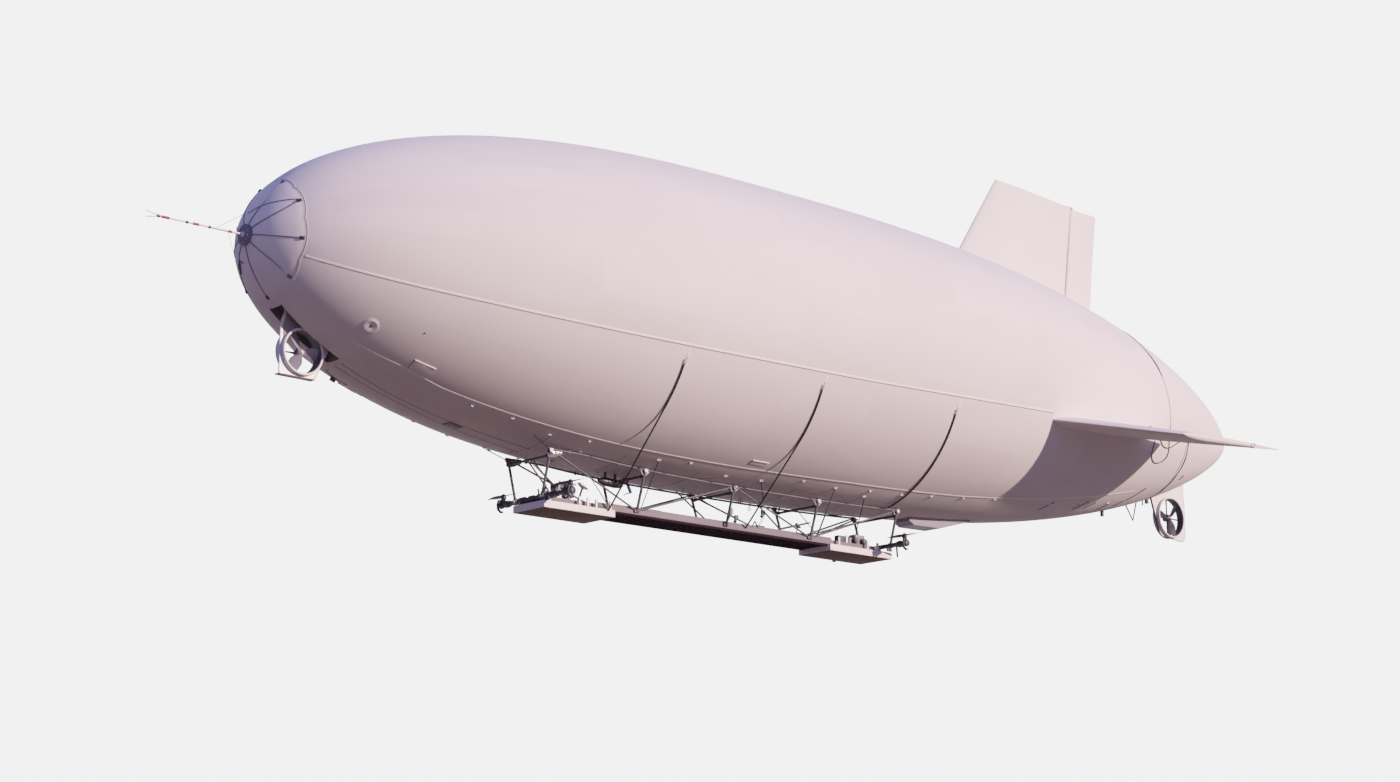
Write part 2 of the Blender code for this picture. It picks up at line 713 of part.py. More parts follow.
def side_truss(name, side, skin_cutter):
    """One side of the gondola: top rail, posts, W bracing and feet at the deck's side."""
    last = FRAME_COUNT - 1
    span = frame_station(last) - FRAME_STATION
    rail = []
    for step in range(RAIL_STEPS + 1):
        station = FRAME_STATION + span * step / RAIL_STEPS
        rail.append((x_at(station), side * RAIL_HALF, rail_height(station)))
    pieces = [bent_tube("rail", rail, RAIL_RADIUS)]
    for index in range(FRAME_COUNT):
        top, low = truss_nodes(index, side)
        pieces.append(rod("post", top, low, POST_RADIUS, sides=8))
        pieces.append(box("pad", top - Vector(PAD), top + Vector(PAD)))
        pieces.append(box("foot", low - Vector(FOOT), low + Vector(FOOT)))
    for index in range(last):
        top, low = truss_nodes(index, side)
        next_top, next_low = truss_nodes(index + 1, side)
        ends = (top, next_low) if index % 2 == 0 else (low, next_top)
        pieces.append(rod("brace", *ends, BRACE_RADIUS, sides=6))
    body = weld(name, pieces)
    body = cut(body, skin_cutter, keep_tool=True)
    beside = DECK_HALF + GAP
    room = box("deck_room", (x_at(frame_station(last) + 1), -beside, PLATFORM_TOP),
               (NOSE_X, beside, deck_top()))
    return done(cut(body, cutter(room)), "dark_tube", 40)


def cross_bars():
    """Bars across the gondola, just under the belly, one at each frame."""
    for index in range(FRAME_COUNT):
        station = frame_station(index)
        height = rail_height(station) - PAD[2] - POST_RADIUS - CROSS_BAR_BELOW
        ends = []
        for side in (1, -1):
            top, low = truss_nodes(index, side)
            share = (top.z - height) / (top.z - low.z)
            ends.append(top.lerp(low, share))
        bar = rod(f"cross_bar_{index + 1}", ends[0], ends[1], POST_RADIUS, sides=8)
        for side in (1, -1):
            top, low = truss_nodes(index, side)
            bar = cut(bar, cutter(rod("post_fit", top, low, POST_RADIUS + GAP * 1.2, sides=8)))
        bar = keep_middle(bar)
        done(bar, "dark_tube", 40)


def keep_middle(made):
    """Drops the slivers that a cut leaves outside the posts."""
    bm = bmesh.new()
    bm.from_mesh(made.data)
    seeds = sorted(bm.verts, key=lambda v: abs(v.co.y))[:1]
    kept, queue = set(seeds), list(seeds)
    while queue:
        for edge in queue.pop().link_edges:
            for vert in edge.verts:
                if vert not in kept:
                    kept.add(vert)
                    queue.append(vert)
    bmesh.ops.delete(bm, geom=[v for v in bm.verts if v not in kept], context="VERTS")
    bm.to_mesh(made.data)
    bm.free()
    return made


def platforms():
    low = PLATFORM_TOP - PLATFORM_DEPTH
    front = x_at(FRAME_STATION)
    rear = x_at(frame_station(FRAME_COUNT - 1))
    for name, start, length in (("front_platform", front, FRONT_PLATFORM),
                                ("rear_platform", rear + REAR_PLATFORM, REAR_PLATFORM)):
        made = box(name, (start - length, -PLATFORM_HALF, low), (start, PLATFORM_HALF, PLATFORM_TOP))
        done(made, "deck_panel")


def front_boom_station():
    return FRAME_STATION + FRONT_BOOM_BEHIND


def rear_boom_station():
    return frame_station(FRAME_COUNT - 1) - REAR_BOOM_BEFORE


def mid_deck():
    """The walkway on both platforms, a plank from boom to boom with ribs below its open part."""
    beside = CROSS_BOOM_RADIUS + BOOM_CLEARANCE
    front, rear = x_at(front_boom_station()) - beside, x_at(rear_boom_station()) + beside
    start = x_at(FRAME_STATION + FRONT_PLATFORM) - GAP
    end = x_at(frame_station(FRAME_COUNT - 1)) + REAR_PLATFORM + GAP
    count = int((start - end) / DECK_RIB_PITCH)
    pitch = (start - end) / count
    plate = PLATFORM_TOP + GAP
    low = PLATFORM_TOP - DECK_RIB
    outline = [(rear, deck_top()), (rear, plate)]
    for rib in range(count):
        edge = end + rib * pitch
        outline += [(edge, plate)] if rib == 0 else []
        outline += [(edge, low), (edge + pitch / 2, low), (edge + pitch / 2, plate), (edge + pitch, plate)]
    outline += [(front, plate), (front, deck_top())]
    turn = Matrix.Rotation(math.radians(90), 4, "X")
    made = slab("mid_deck", outline, turn, -DECK_HALF, DECK_HALF)
    return done(made, "deck_panel")


def engines():
    for name, start in (("front_engine", x_at(front_boom_station()) - ENGINE_FROM_BOOM),
                        ("rear_engine", x_at(rear_boom_station()) + ENGINE_FROM_BOOM + ENGINE_LENGTH)):
        made = box(name, (start - ENGINE_LENGTH, -ENGINE_WIDTH / 2, deck_top() + GAP),
                   (start, ENGINE_WIDTH / 2, deck_top() + GAP + ENGINE_HEIGHT))
        done(made, "engine_grey")


def drive(name, station, propped):
    """A cross-boom on two stands, with a tilting head and a propeller at each end."""
    middle = Vector((x_at(station), 0, BOOM_HEIGHT))
    reach = Vector((0, CROSS_BOOM_HALF, 0))
    pieces = [rod("boom", middle - reach, middle + reach, CROSS_BOOM_RADIUS, sides=16)]
    for side in (1, -1):
        spot = middle + Vector((0, side * STAND_SIDE, 0))
        pieces.append(box("stand", (spot.x - STAND_HALF, spot.y - STAND_HALF, PLATFORM_TOP + GAP),
                          (spot.x + STAND_HALF, spot.y + STAND_HALF, BOOM_HEIGHT)))
        if propped:
            foot = Vector((middle.x - PROP_STRUT_REACH, side * (PLATFORM_HALF + GAP + BRACE_RADIUS),
                           PLATFORM_TOP - PLATFORM_DEPTH / 2))
            end = middle + Vector((0, side * (CROSS_BOOM_HALF - HEAD_RADIUS), -CROSS_BOOM_RADIUS / 2))
            pieces.append(rod("prop_strut", foot, end, BRACE_RADIUS, sides=8))
    body = weld(name + "_boom", pieces)
    if propped:
        rear = x_at(frame_station(FRAME_COUNT - 1))
        beside = PLATFORM_HALF + GAP
        room = box("platform_room", (rear - GAP, -beside, PLATFORM_TOP - PLATFORM_DEPTH - GAP),
                   (rear + REAR_PLATFORM, beside, PLATFORM_TOP + GAP))
        body = cut(body, cutter(room))
    done(body, "dark_tube", 30)
    for label, side in (("port", 1), ("starboard", -1)):
        root = middle + Vector((0, side * (CROSS_BOOM_HALF + GAP), 0))
        end = root + Vector((0, side * HEAD_LENGTH, 0))
        axis = middle + Vector((0, side * PROP_AXIS, 0))
        drum = rod("drum", root, end, HEAD_RADIUS, sides=16)
        neck = rod("neck", axis, axis + Vector((0, 0, NECK_HEIGHT)), NECK_RADIUS, sides=16)
        head = done(weld(f"{name}_{label}_head", [drum, neck]), "white_paint", 30)
        tilt = pivot(f"{name}_{label}_tilt", axis)
        hang(head, tilt)
        propeller(f"{name}_{label}_propeller", axis + Vector((0, 0, NECK_HEIGHT + GAP)), tilt)


def propeller(name, base, tilt):
    """Two pitched blades in a round hub, its axis upright."""
    hub = rod("hub", base, base + Vector((0, 0, PROP_HUB_HEIGHT)), PROP_HUB, PROP_HUB * 0.6, sides=16)
    middle = base + Vector((0, 0, PROP_HUB_HEIGHT * 0.45))
    root = PROP_HUB / 2
    outline = [(root, -0.35 * BLADE_CHORD), (0.35 * PROP_RADIUS, -0.5 * BLADE_CHORD),
               (0.92 * PROP_RADIUS, -0.30 * BLADE_CHORD), (PROP_RADIUS, 0.0),
               (0.92 * PROP_RADIUS, 0.26 * BLADE_CHORD), (0.35 * PROP_RADIUS, 0.5 * BLADE_CHORD),
               (root, 0.35 * BLADE_CHORD)]
    pieces = [hub]
    for turned in range(2):
        place = Matrix.Translation(middle) @ Matrix.Rotation(math.radians(90 + 180 * turned), 4, "Z")
        place = place @ Matrix.Rotation(math.radians(BLADE_PITCH), 4, "X")
        pieces.append(slab("blade", outline, place, -BLADE_THICKNESS / 2, BLADE_THICKNESS / 2))
    made = done(weld(name, pieces), "dark_metal", 30)
    holder = pivot(name + "_spin", middle)
    holder.parent = tilt
    holder.matrix_parent_inverse = tilt.matrix_world.inverted()
    bpy.context.view_layer.update()
    hang(made, holder)


# Stays

def stay(name, side, top_station, top_angle, low, skin_cutter):
    """A rope that lies on the hull, leaves it at a tangent and runs straight to the gondola."""
    low = Vector(low)
    radius = hull_radius(top_station) + STAY_RADIUS + GAP
    distance = math.hypot(low.y, low.z)
    low_angle = math.atan2(low.z, low.y)
    leave = low_angle + math.acos(min(radius / distance, 1.0))
    start = math.radians(top_angle)
    points = []
    for step in range(STAY_STEPS + 1):
        angle = start + (leave - start) * step / STAY_STEPS
        along = radius * (start - angle)
        total = radius * (start - leave) + math.sqrt(max(distance ** 2 - radius ** 2, 0.0))
        x = x_at(top_station) + (low.x - x_at(top_station)) * along / total
        near = hull_radius(NOSE_X - x) + STAY_RADIUS + GAP
        points.append(Vector((x, side * near * math.cos(angle), near * math.sin(angle))))
    points.append(Vector((low.x, side * low.y, low.z)))
    rope = bent_tube("rope", points, STAY_RADIUS)
    out = hull_normal(top_station, top_angle)
    out.y *= side
    patch = rod("patch", points[0] - out * STAY_PATCH_DEPTH, points[0] + out * STAY_RADIUS, STAY_PATCH,
                sides=16)
    body = cut(weld(name, [rope, patch]), skin_cutter, keep_tool=True)
    return done(body, "rope_black", 40)


def stays(skin_cutter):
    """The front feet sit on the platform's sides, the middle ones on feet of the truss, the rear ones
    on the top rails."""
    for name, station, angle, frame, behind in STAYS:
        foot_station = frame_station(frame) + behind
        beside = STAY_RADIUS + GAP
        if frame == 0:
            half, height = PLATFORM_HALF + beside, PLATFORM_TOP - STAY_FOOT_DROP
        elif frame == FRAME_COUNT - 1:
            half, height = RAIL_HALF + RAIL_RADIUS + beside, rail_height(foot_station)
        else:
            half, height = DECK_HALF + beside, deck_top() - FOOT[2]
        low = (x_at(foot_station), half, height)
        for label, side in (("port", 1), ("starboard", -1)):
            stay(f"{name}_{label}", side, station, angle, low, skin_cutter)


def belly_fairing(skin_cutter):
    """A shallow keel box under the belly, behind the gondola."""
    station = frame_station(FRAME_COUNT - 1) + FAIRING_BEHIND
    front = x_at(station)
    back = front - FAIRING_LENGTH
    low = -hull_radius(station) - FAIRING_DEPTH
    rise = -hull_radius(station + FAIRING_LENGTH) - FAIRING_END_DEPTH
    top = FAIRING_INSIDE - hull_radius(station)
    outline = [(front - FAIRING_DEPTH / 3, top), (front, low + FAIRING_DEPTH / 2),
               (front - FAIRING_DEPTH, low), (front - FAIRING_LENGTH / 2, low + FAIRING_END_DEPTH / 2),
               (back, rise), (back, top)]
    turn = Matrix.Rotation(math.radians(90), 4, "X")
    made = slab("belly_fairing", outline, turn, -FAIRING_HALF, FAIRING_HALF)
    made = cut(made, skin_cutter, keep_tool=True)
    return done(made, "white_paint", 20)


skin = hull_cutter("skin_fit")
bow_skin = cutter(cut(hull_cutter("bow_fit"), cutter(recess("bow_room", -GAP))))
envelope()
gas_valves()
nose_cone(skin)
nose_boom()
fin_set("top", "top_fin", "rudder", skin)
fin_set("port", "port_fin", "port_elevator", skin)
fin_set("starboard", "starboard_fin", "starboard_elevator", skin)
thruster("bow_thruster", BOW_DUCT_STATION, BOW_DUCT_BELOW, BOW_DUCT_RADIUS, BOW_PLATE,
         BOW_FAN_TURNED, bow_skin)
thruster("stern_thruster", STERN_DUCT_STATION, STERN_DUCT_BELOW, STERN_DUCT_RADIUS, STERN_PLATE,
         STERN_FAN_TURNED, skin)
side_truss("truss_port", 1, skin)
side_truss("truss_starboard", -1, skin)
cross_bars()
platforms()
mid_deck()
engines()
drive("front", front_boom_station(), False)
drive("rear", rear_boom_station(), True)
stays(skin)
belly_fairing(skin)
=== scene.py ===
# The looks of a 1:10 scale model airship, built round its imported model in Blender 4.5.
# Frame: +X forward to the nose, +Y to port, +Z up, in metres, origin on the hull's axis.
# A station is a distance aft of the nose tip, and an angle round the hull is 0 at port, 90 at the top.
import math

import bmesh
import bpy
from mathutils import Matrix, Vector


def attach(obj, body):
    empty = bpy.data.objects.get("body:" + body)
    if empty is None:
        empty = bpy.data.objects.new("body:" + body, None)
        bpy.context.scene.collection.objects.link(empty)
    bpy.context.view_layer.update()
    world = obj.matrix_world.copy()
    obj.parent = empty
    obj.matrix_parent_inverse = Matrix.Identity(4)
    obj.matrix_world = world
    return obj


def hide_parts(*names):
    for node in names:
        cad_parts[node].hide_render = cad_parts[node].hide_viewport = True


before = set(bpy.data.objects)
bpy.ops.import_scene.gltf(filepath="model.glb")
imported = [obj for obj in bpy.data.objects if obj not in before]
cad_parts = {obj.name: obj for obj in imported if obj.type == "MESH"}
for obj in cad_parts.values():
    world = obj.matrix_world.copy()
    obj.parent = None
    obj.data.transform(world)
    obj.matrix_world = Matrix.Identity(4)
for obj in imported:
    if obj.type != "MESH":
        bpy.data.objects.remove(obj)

bl_info = {
    "name": "Scale model airship",
    "version": (1, 0, 0),
    "blender": (4, 5, 0),
    "location": "View3D > Sidebar > Airship",
    "description": "Builds the looks of a scale model airship on its packed model, with its stage",
    "category": "Object",
}

# Hull curve, fore and aft of its widest station
FORE_POWER = 2.63
FORE_FULLNESS = 0.512
AFT_POWER = 2.595
AFT_FULLNESS = 0.757

# Fins, each in its own plane: aft of and outboard of its leading edge root
FIN_ROOT_STATION = 7.387
FIN_ROOT_ANGLE = -22.0
FIN_DROOP = 13.0
FIN_TOE = 2.2
RIB_PITCH = 0.148
TIP_ROUNDING = 0.020
FIN_SWEEP = 0.632
FIN_TIP_DROP = 0.081
FIN_TIP_CHORD = 1.455
FIN_ROOT_CHORD = 1.947
HINGE_BEFORE_EDGE = 0.370
FIN_THICKEST = 0.32
HINGE_SHARE = 0.30
FIN_EDGE_THICKNESS = 0.010
FIN_BURIED = 0.300
SURFACE_ROOT = 0.110
SURFACE_ROOT_SLOPE = 0.24
SURFACE_GAP = 0.006
LUG_THICKNESS = 0.012
LUG_RADIUS = 0.024
ROOT_LUG_GAP = 0.0118
HINGE_TUBE = 0.012

# A turned shape closes on its axis with a tiny face of this radius
AXIS = 0.0002

# Side thrusters: station, distance of the duct's axis below the belly, duct radius
BOW_DUCT = (0.476, 0.135, 0.172)
STERN_DUCT = (10.380, 0.265, 0.199)
DUCT_WALL = 0.019
DUCT_HALF = 0.045
PLATE_TO_PORT = 0.020
PLATE_THICKNESS = 0.012
FAN_TO_PORT = 0.016
# Plate outlines: forward, up, from the duct's axis
BOW_PLATE = [(0.180, -0.178), (-0.112, -0.182), (-0.250, 0.085), (-0.235, 0.300), (0.120, 0.340),
             (0.150, 0.259), (0.178, 0.180)]
STERN_PLATE = [(0.280, 0.190), (0.157, -0.160), (0.130, -0.188), (-0.190, -0.215), (-0.232, -0.190),
               (-0.238, 0.380)]
RECESS_STATION = 0.262
RECESS_LENGTH = 0.500
RECESS_DEPTH = 0.100
RECESS_HALF = 0.078

# Gondola
FRAME_STATION = 2.551
FRAME_PITCH = 0.942
FRAME_COUNT = 5
RAIL_HALF = 0.256
RAIL_RADIUS = 0.012
RAIL_TOP = -1.222
POST_RADIUS = 0.010
BRACE_RADIUS = 0.007
PLATFORM_TOP = -1.594
PLATFORM_DEPTH = 0.056
PLATFORM_HALF = 0.186
FRONT_PLATFORM = 0.698
REAR_PLATFORM = 0.737
DECK_HALF = 0.150
DECK_TOP = -1.5557
BOOM_HEIGHT = -1.548
FRONT_BOOM_X = 2.504
REAR_BOOM_X = -1.118
BOOM_HALF = 0.335
BOOM_RADIUS = 0.018
PROP_AXIS = 0.400
PROP_RADIUS = 0.200

# Stays: name, station and angle of the top, foot
STAYS = (
    ("stay_front", 3.138, -29.7, (1.954, 0.1913, -1.604)),
    ("stay_middle", 4.552, -28.3, (0.480, 0.1553, -1.5677)),
    ("stay_rear", 6.109, -27.3, (-1.060, 0.2733, -1.222)),
)


class AirshipSizes(bpy.types.PropertyGroup):
    """Sizes that a user would change."""

    nose_x: bpy.props.FloatProperty(
        name="Nose", description="Nose tip, forward of the lift centre", default=5.130, unit="LENGTH")
    hull_radius: bpy.props.FloatProperty(
        name="Hull radius", description="Radius of the hull at its widest station",
        default=1.286, unit="LENGTH")
    fore_length: bpy.props.FloatProperty(
        name="Fore length", description="Nose tip to the widest station", default=4.536, unit="LENGTH")
    aft_length: bpy.props.FloatProperty(
        name="Aft length", description="Widest station to the tail tip", default=6.764, unit="LENGTH")
    fin_span: bpy.props.FloatProperty(
        name="Fin span", description="Span of a fin from its leading edge root", default=0.915, unit="LENGTH")
    fin_thickness: bpy.props.FloatProperty(
        name="Fin thickness", description="Thickness of a fin at its root", default=0.110, unit="LENGTH")
    fin_tip_thickness: bpy.props.FloatProperty(
        name="Fin tip thickness", description="Thickness of a fin at its tip", default=0.066, unit="LENGTH")
    tape_width: bpy.props.FloatProperty(
        name="Tape width", description="Width of the tape over a main seam", default=0.022, unit="LENGTH")
    blade_pitch: bpy.props.FloatProperty(
        name="Blade pitch", description="Pitch of a propeller blade at its tip",
        default=math.radians(16), subtype="ANGLE")


class AirshipColours(bpy.types.PropertyGroup):
    """Colours that a user would change."""

    fabric: bpy.props.FloatVectorProperty(
        name="Envelope fabric", description="Colour of the hull's fabric",
        default=(0.80, 0.715, 0.745), subtype="COLOR", size=3, min=0, max=1)
    fin_fabric: bpy.props.FloatVectorProperty(
        name="Fin fabric", description="Colour of the fins' fabric",
        default=(0.82, 0.735, 0.750), subtype="COLOR", size=3, min=0, max=1)
    paint: bpy.props.FloatVectorProperty(
        name="Pale paint", description="Colour of the painted metal",
        default=(0.82, 0.77, 0.80), subtype="COLOR", size=3, min=0, max=1)
    dark: bpy.props.FloatVectorProperty(
        name="Dark tube", description="Colour of the dark tubes and castings",
        default=(0.135, 0.118, 0.142), subtype="COLOR", size=3, min=0, max=1)
    panel: bpy.props.FloatVectorProperty(
        name="Deck panel", description="Colour of the deck's panels",
        default=(0.86, 0.77, 0.80), subtype="COLOR", size=3, min=0, max=1)
    backdrop: bpy.props.FloatVectorProperty(
        name="Backdrop", description="Colour behind the airship",
        default=(0.88, 0.88, 0.88), subtype="COLOR", size=3, min=0, max=1)


def sizes():
    return bpy.context.scene.airship_sizes


def colours():
    return bpy.context.scene.airship_colours


# The hull's curve

def x_at(station):
    return sizes().nose_x - station


def hull_radius(station):
    """Radius of the hull at a station."""
    size = sizes()
    if station < size.fore_length:
        share = 1.0 - max(station, 0.0) / size.fore_length
        return size.hull_radius * (1.0 - share ** FORE_POWER) ** FORE_FULLNESS
    share = min((station - size.fore_length) / size.aft_length, 1.0)
    return size.hull_radius * (1.0 - share ** AFT_POWER) ** AFT_FULLNESS


def hull_normal(station, degrees):
    step = 0.004
    rise = (hull_radius(station + step) - hull_radius(station - step)) / (2 * step)
    angle = math.radians(degrees)
    return Vector((rise, math.cos(angle), math.sin(angle))).normalized()


def hull_point(station, degrees, proud=0.0):
    """Point on the hull, or proud of it along its normal."""
    radius = hull_radius(station)
    angle = math.radians(degrees)
    spot = Vector((x_at(station), radius * math.cos(angle), radius * math.sin(angle)))
    return spot + hull_normal(station, degrees) * proud if proud else spot


def hull_frame(station, degrees, proud=0.0, side=1):
    """Axes on the hull: X aft along it, Y round it, Z outwards."""
    spot, out = hull_point(station, degrees, proud), hull_normal(station, degrees)
    ahead = hull_point(station + 0.01, degrees) - hull_point(station - 0.01, degrees)
    if side < 0:
        spot.y, out.y, ahead.y = -spot.y, -out.y, -ahead.y
    along = ahead.normalized()
    across = out.cross(along).normalized()
    return Matrix.Translation(spot) @ Matrix((along, across, out)).transposed().to_4x4()


# Shapes, added to a bmesh as closed solids

def aim(direction):
    """Rotation that turns +Z to a direction."""
    return Vector((0, 0, 1)).rotation_difference(Vector(direction)).to_matrix().to_4x4()


def facing(spot, direction):
    """Axes at a spot, with Z in a direction."""
    return Matrix.Translation(spot) @ aim(direction)


def mirrored(point):
    return Vector((point[0], -point[1], point[2]))


def add_rings(bm, rings, closed_ends=True, material=0):
    """Skins a list of rings of points of equal count."""
    made = [[bm.verts.new(point) for point in ring] for ring in rings]
    count = len(rings[0])
    faces = []
    for low, high in zip(made, made[1:]):
        for index in range(count):
            after = (index + 1) % count
            faces.append(bm.faces.new((low[index], low[after], high[after], high[index])))
    if closed_ends:
        faces.append(bm.faces.new(made[0][::-1]))
        faces.append(bm.faces.new(made[-1]))
    for face in faces:
        face.material_index = material
    return made


def add_tube(bm, points, radius, sides=12, material=0):
    """A round tube along points; radius is a number or one number a point."""
    points = [Vector(point) for point in points]
    radii = radius if isinstance(radius, (list, tuple)) else [radius] * len(points)
    way = (points[1] - points[0]).normalized()
    across = way.orthogonal().normalized()
    rings = []
    for index, point in enumerate(points):
        before = points[max(index - 1, 0)]
        after = points[min(index + 1, len(points) - 1)]
        turn = (after - before).normalized()
        across = (across - turn * across.dot(turn)).normalized()
        other = turn.cross(across)
        ring = []
        for step in range(sides):
            angle = 2 * math.pi * step / sides
            ring.append(point + (across * math.cos(angle) + other * math.sin(angle)) * radii[index])
        rings.append(ring)
    add_rings(bm, rings, material=material)


def swung(radius, height, angle, place):
    """A point of a profile, turned round a frame's Z."""
    return place @ Vector((radius * math.cos(angle), radius * math.sin(angle), height))


def add_lathe(bm, profile, place, sides=32, material=0):
    """Turns a profile of (radius, height) round a frame's Z. Its ends close themselves."""
    rings = []
    for radius, height in profile:
        rings.append([swung(radius, height, 2 * math.pi * step / sides, place) for step in range(sides)])
    add_rings(bm, rings, material=material)


def add_hoop(bm, profile, place, sides=64, material=0):
    """Turns a closed profile of (radius, height) round a frame's Z into a ring."""
    made = []
    for step in range(sides):
        angle = 2 * math.pi * step / sides
        made.append([bm.verts.new(swung(radius, height, angle, place)) for radius, height in profile])
    count = len(profile)
    for step in range(sides):
        near, far = made[step], made[(step + 1) % sides]
        for index in range(count):
            after = (index + 1) % count
            face = bm.faces.new((near[index], near[after], far[after], far[index]))
            if isinstance(material, (list, tuple)):
                face.material_index = material[index]
            else:
                face.material_index = material


def add_block(bm, low, high, place=None, bevel=0.002, material=0):
    """A box with eased edges."""
    low, high = Vector(low), Vector(high)
    made = bmesh.ops.create_cube(bm, size=1.0)["verts"]
    bmesh.ops.scale(bm, vec=high - low, verts=made)
    bmesh.ops.translate(bm, vec=(low + high) / 2, verts=made)
    faces = {face for vert in made for face in vert.link_faces}
    for face in faces:
        face.material_index = material
    if bevel:
        edges = list({edge for vert in made for edge in vert.link_edges})
        grown = bmesh.ops.bevel(bm, geom=edges, offset=bevel, segments=2, affect="EDGES", profile=0.7)
        kept = {vert for vert in made if vert.is_valid}
        made = list(kept | {vert for face in grown["faces"] for vert in face.verts})
        for face in grown["faces"]:
            face.material_index = material
    if place is not None:
        bmesh.ops.transform(bm, matrix=place, verts=made)


def add_pad(bm, x, y, half_long, half_wide, low, high, bevel, material=0):
    """A block that lies along the frame's axes about a place (x, y), from low to high."""
    add_block(bm, (x - half_long, y - half_wide, low), (x + half_long, y + half_wide, high), None, bevel,
              material)


def rounded(outline, radius, steps=4):
    """An outline with its corners rounded."""
    made = []
    count = len(outline)
    for index in range(count):
        before, spot, after = (Vector(outline[(index + k) % count]) for k in (-1, 0, 1))
        near = min(radius, (before - spot).length * 0.45, (after - spot).length * 0.45)
        start = spot + (before - spot).normalized() * near
        end = spot + (after - spot).normalized() * near
        for step in range(steps + 1):
            share = step / steps
            made.append(tuple(start.lerp(spot, share).lerp(spot.lerp(end, share), share)))
    return made


def add_plate(bm, outline, place, low, high, material=0):
    """A flat outline in a frame's XY plane, from low to high along its Z."""
    rings = [[place @ Vector((u, v, height)) for u, v in outline] for height in (low, high)]
    add_rings(bm, rings, material=material)


def add_bolt(bm, spot, out, radius=0.004, height=0.004, material=0):
    """A low domed head on a washer."""
    place = facing(spot, out)
    add_lathe(bm, [(radius * 1.35, -0.001), (radius * 1.35, height * 0.3), (radius, height * 0.35),
                   (radius, height * 0.8), (radius * 0.6, height), (AXIS, height)], place, 8, material)


def new_object(name, bm):
    """Turns a bmesh into an object of the scene."""
    mesh = bpy.data.meshes.new(name)
    bm.to_mesh(mesh)
    bm.free()
    made = bpy.data.objects.new(name, mesh)
    bpy.context.scene.collection.objects.link(made)
    return made


def dress_tree(made, body="hull", slot=None, stands_for=(), smooth=35):
    """Shades a piece that has its finish, and lets it ride on a body of the model."""
    if smooth:
        made.data.shade_smooth()
        made.data.set_sharp_from_angle(angle=math.radians(smooth))
    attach(made, body)
    if stands_for:
        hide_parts(*stands_for)
    return made


def dress(made, materials, **ways):
    """Gives a piece its finish or finishes, and dresses it."""
    for material in materials if isinstance(materials, (list, tuple)) else [materials]:
        made.data.materials.append(material)
    return dress_tree(made, **ways)


def finish_piece(name, bm, materials, **ways):
    """Makes a bmesh one piece with its finish."""
    bmesh.ops.recalc_face_normals(bm, faces=bm.faces)
    return dress(new_object(name, bm), materials, **ways)


def apply_modifiers(made):
    """Replaces an object by its evaluated mesh."""
    bpy.context.view_layer.update()
    mesh = bpy.data.meshes.new_from_object(made.evaluated_get(bpy.context.evaluated_depsgraph_get()))
    made.modifiers.clear()
    made.data = mesh
    return made


# Geometry Nodes trees

class Tree:
    """Builds a Geometry Nodes tree with named inputs."""

    def __init__(self, name):
        self.group = bpy.data.node_groups.new(name, "GeometryNodeTree")
        self.group.interface.new_socket("Geometry", in_out="INPUT", socket_type="NodeSocketGeometry")
        self.group.interface.new_socket("Geometry", in_out="OUTPUT", socket_type="NodeSocketGeometry")
        self.start = self.group.nodes.new("NodeGroupInput")
        self.end = self.group.nodes.new("NodeGroupOutput")

    def take(self, name, kind="NodeSocketFloat"):
        self.group.interface.new_socket(name, in_out="INPUT", socket_type=kind)
        return self.start.outputs[name]

    def node(self, kind, inputs=None, **settings):
        made = self.group.nodes.new(kind)
        for key, value in settings.items():
            setattr(made, key, value)
        for key, value in (inputs or {}).items():
            socket = made.inputs[key]
            if isinstance(value, bpy.types.NodeSocket):
                self.group.links.new(value, socket)
            else:
                socket.default_value = value
        return made

    def math(self, operation, first, second=0.0, clamp=False):
        made = self.node("ShaderNodeMath", {0: first, 1: second}, operation=operation)
        made.use_clamp = clamp
        return made.outputs[0]

    def close(self, geometry):
        """Ends the tree in Realize Instances and Set Material."""
        real = self.node("GeometryNodeRealizeInstances", {"Geometry": geometry})
        coat = self.take("Finish", "NodeSocketMaterial")
        coated = self.node("GeometryNodeSetMaterial", {"Geometry": real.outputs[0], "Material": coat})
        self.group.links.new(coated.outputs[0], self.end.inputs[0])
        return self.group


def run_tree(name, mesh, tree, values):
    """Runs a tree on a mesh and returns the result as one plain object."""
    made = bpy.data.objects.new(name, mesh)
    bpy.context.scene.collection.objects.link(made)
    step = made.modifiers.new("build", "NODES")
    step.node_group = tree
    for item in tree.interface.items_tree:
        if item.item_type == "SOCKET" and item.in_out == "INPUT" and item.name in values:
            step[item.identifier] = values[item.name]
    bpy.context.view_layer.update()
    result = bpy.data.meshes.new_from_object(made.evaluated_get(bpy.context.evaluated_depsgraph_get()))
    made.modifiers.clear()
    made.data = result
    result.name = name
    return made


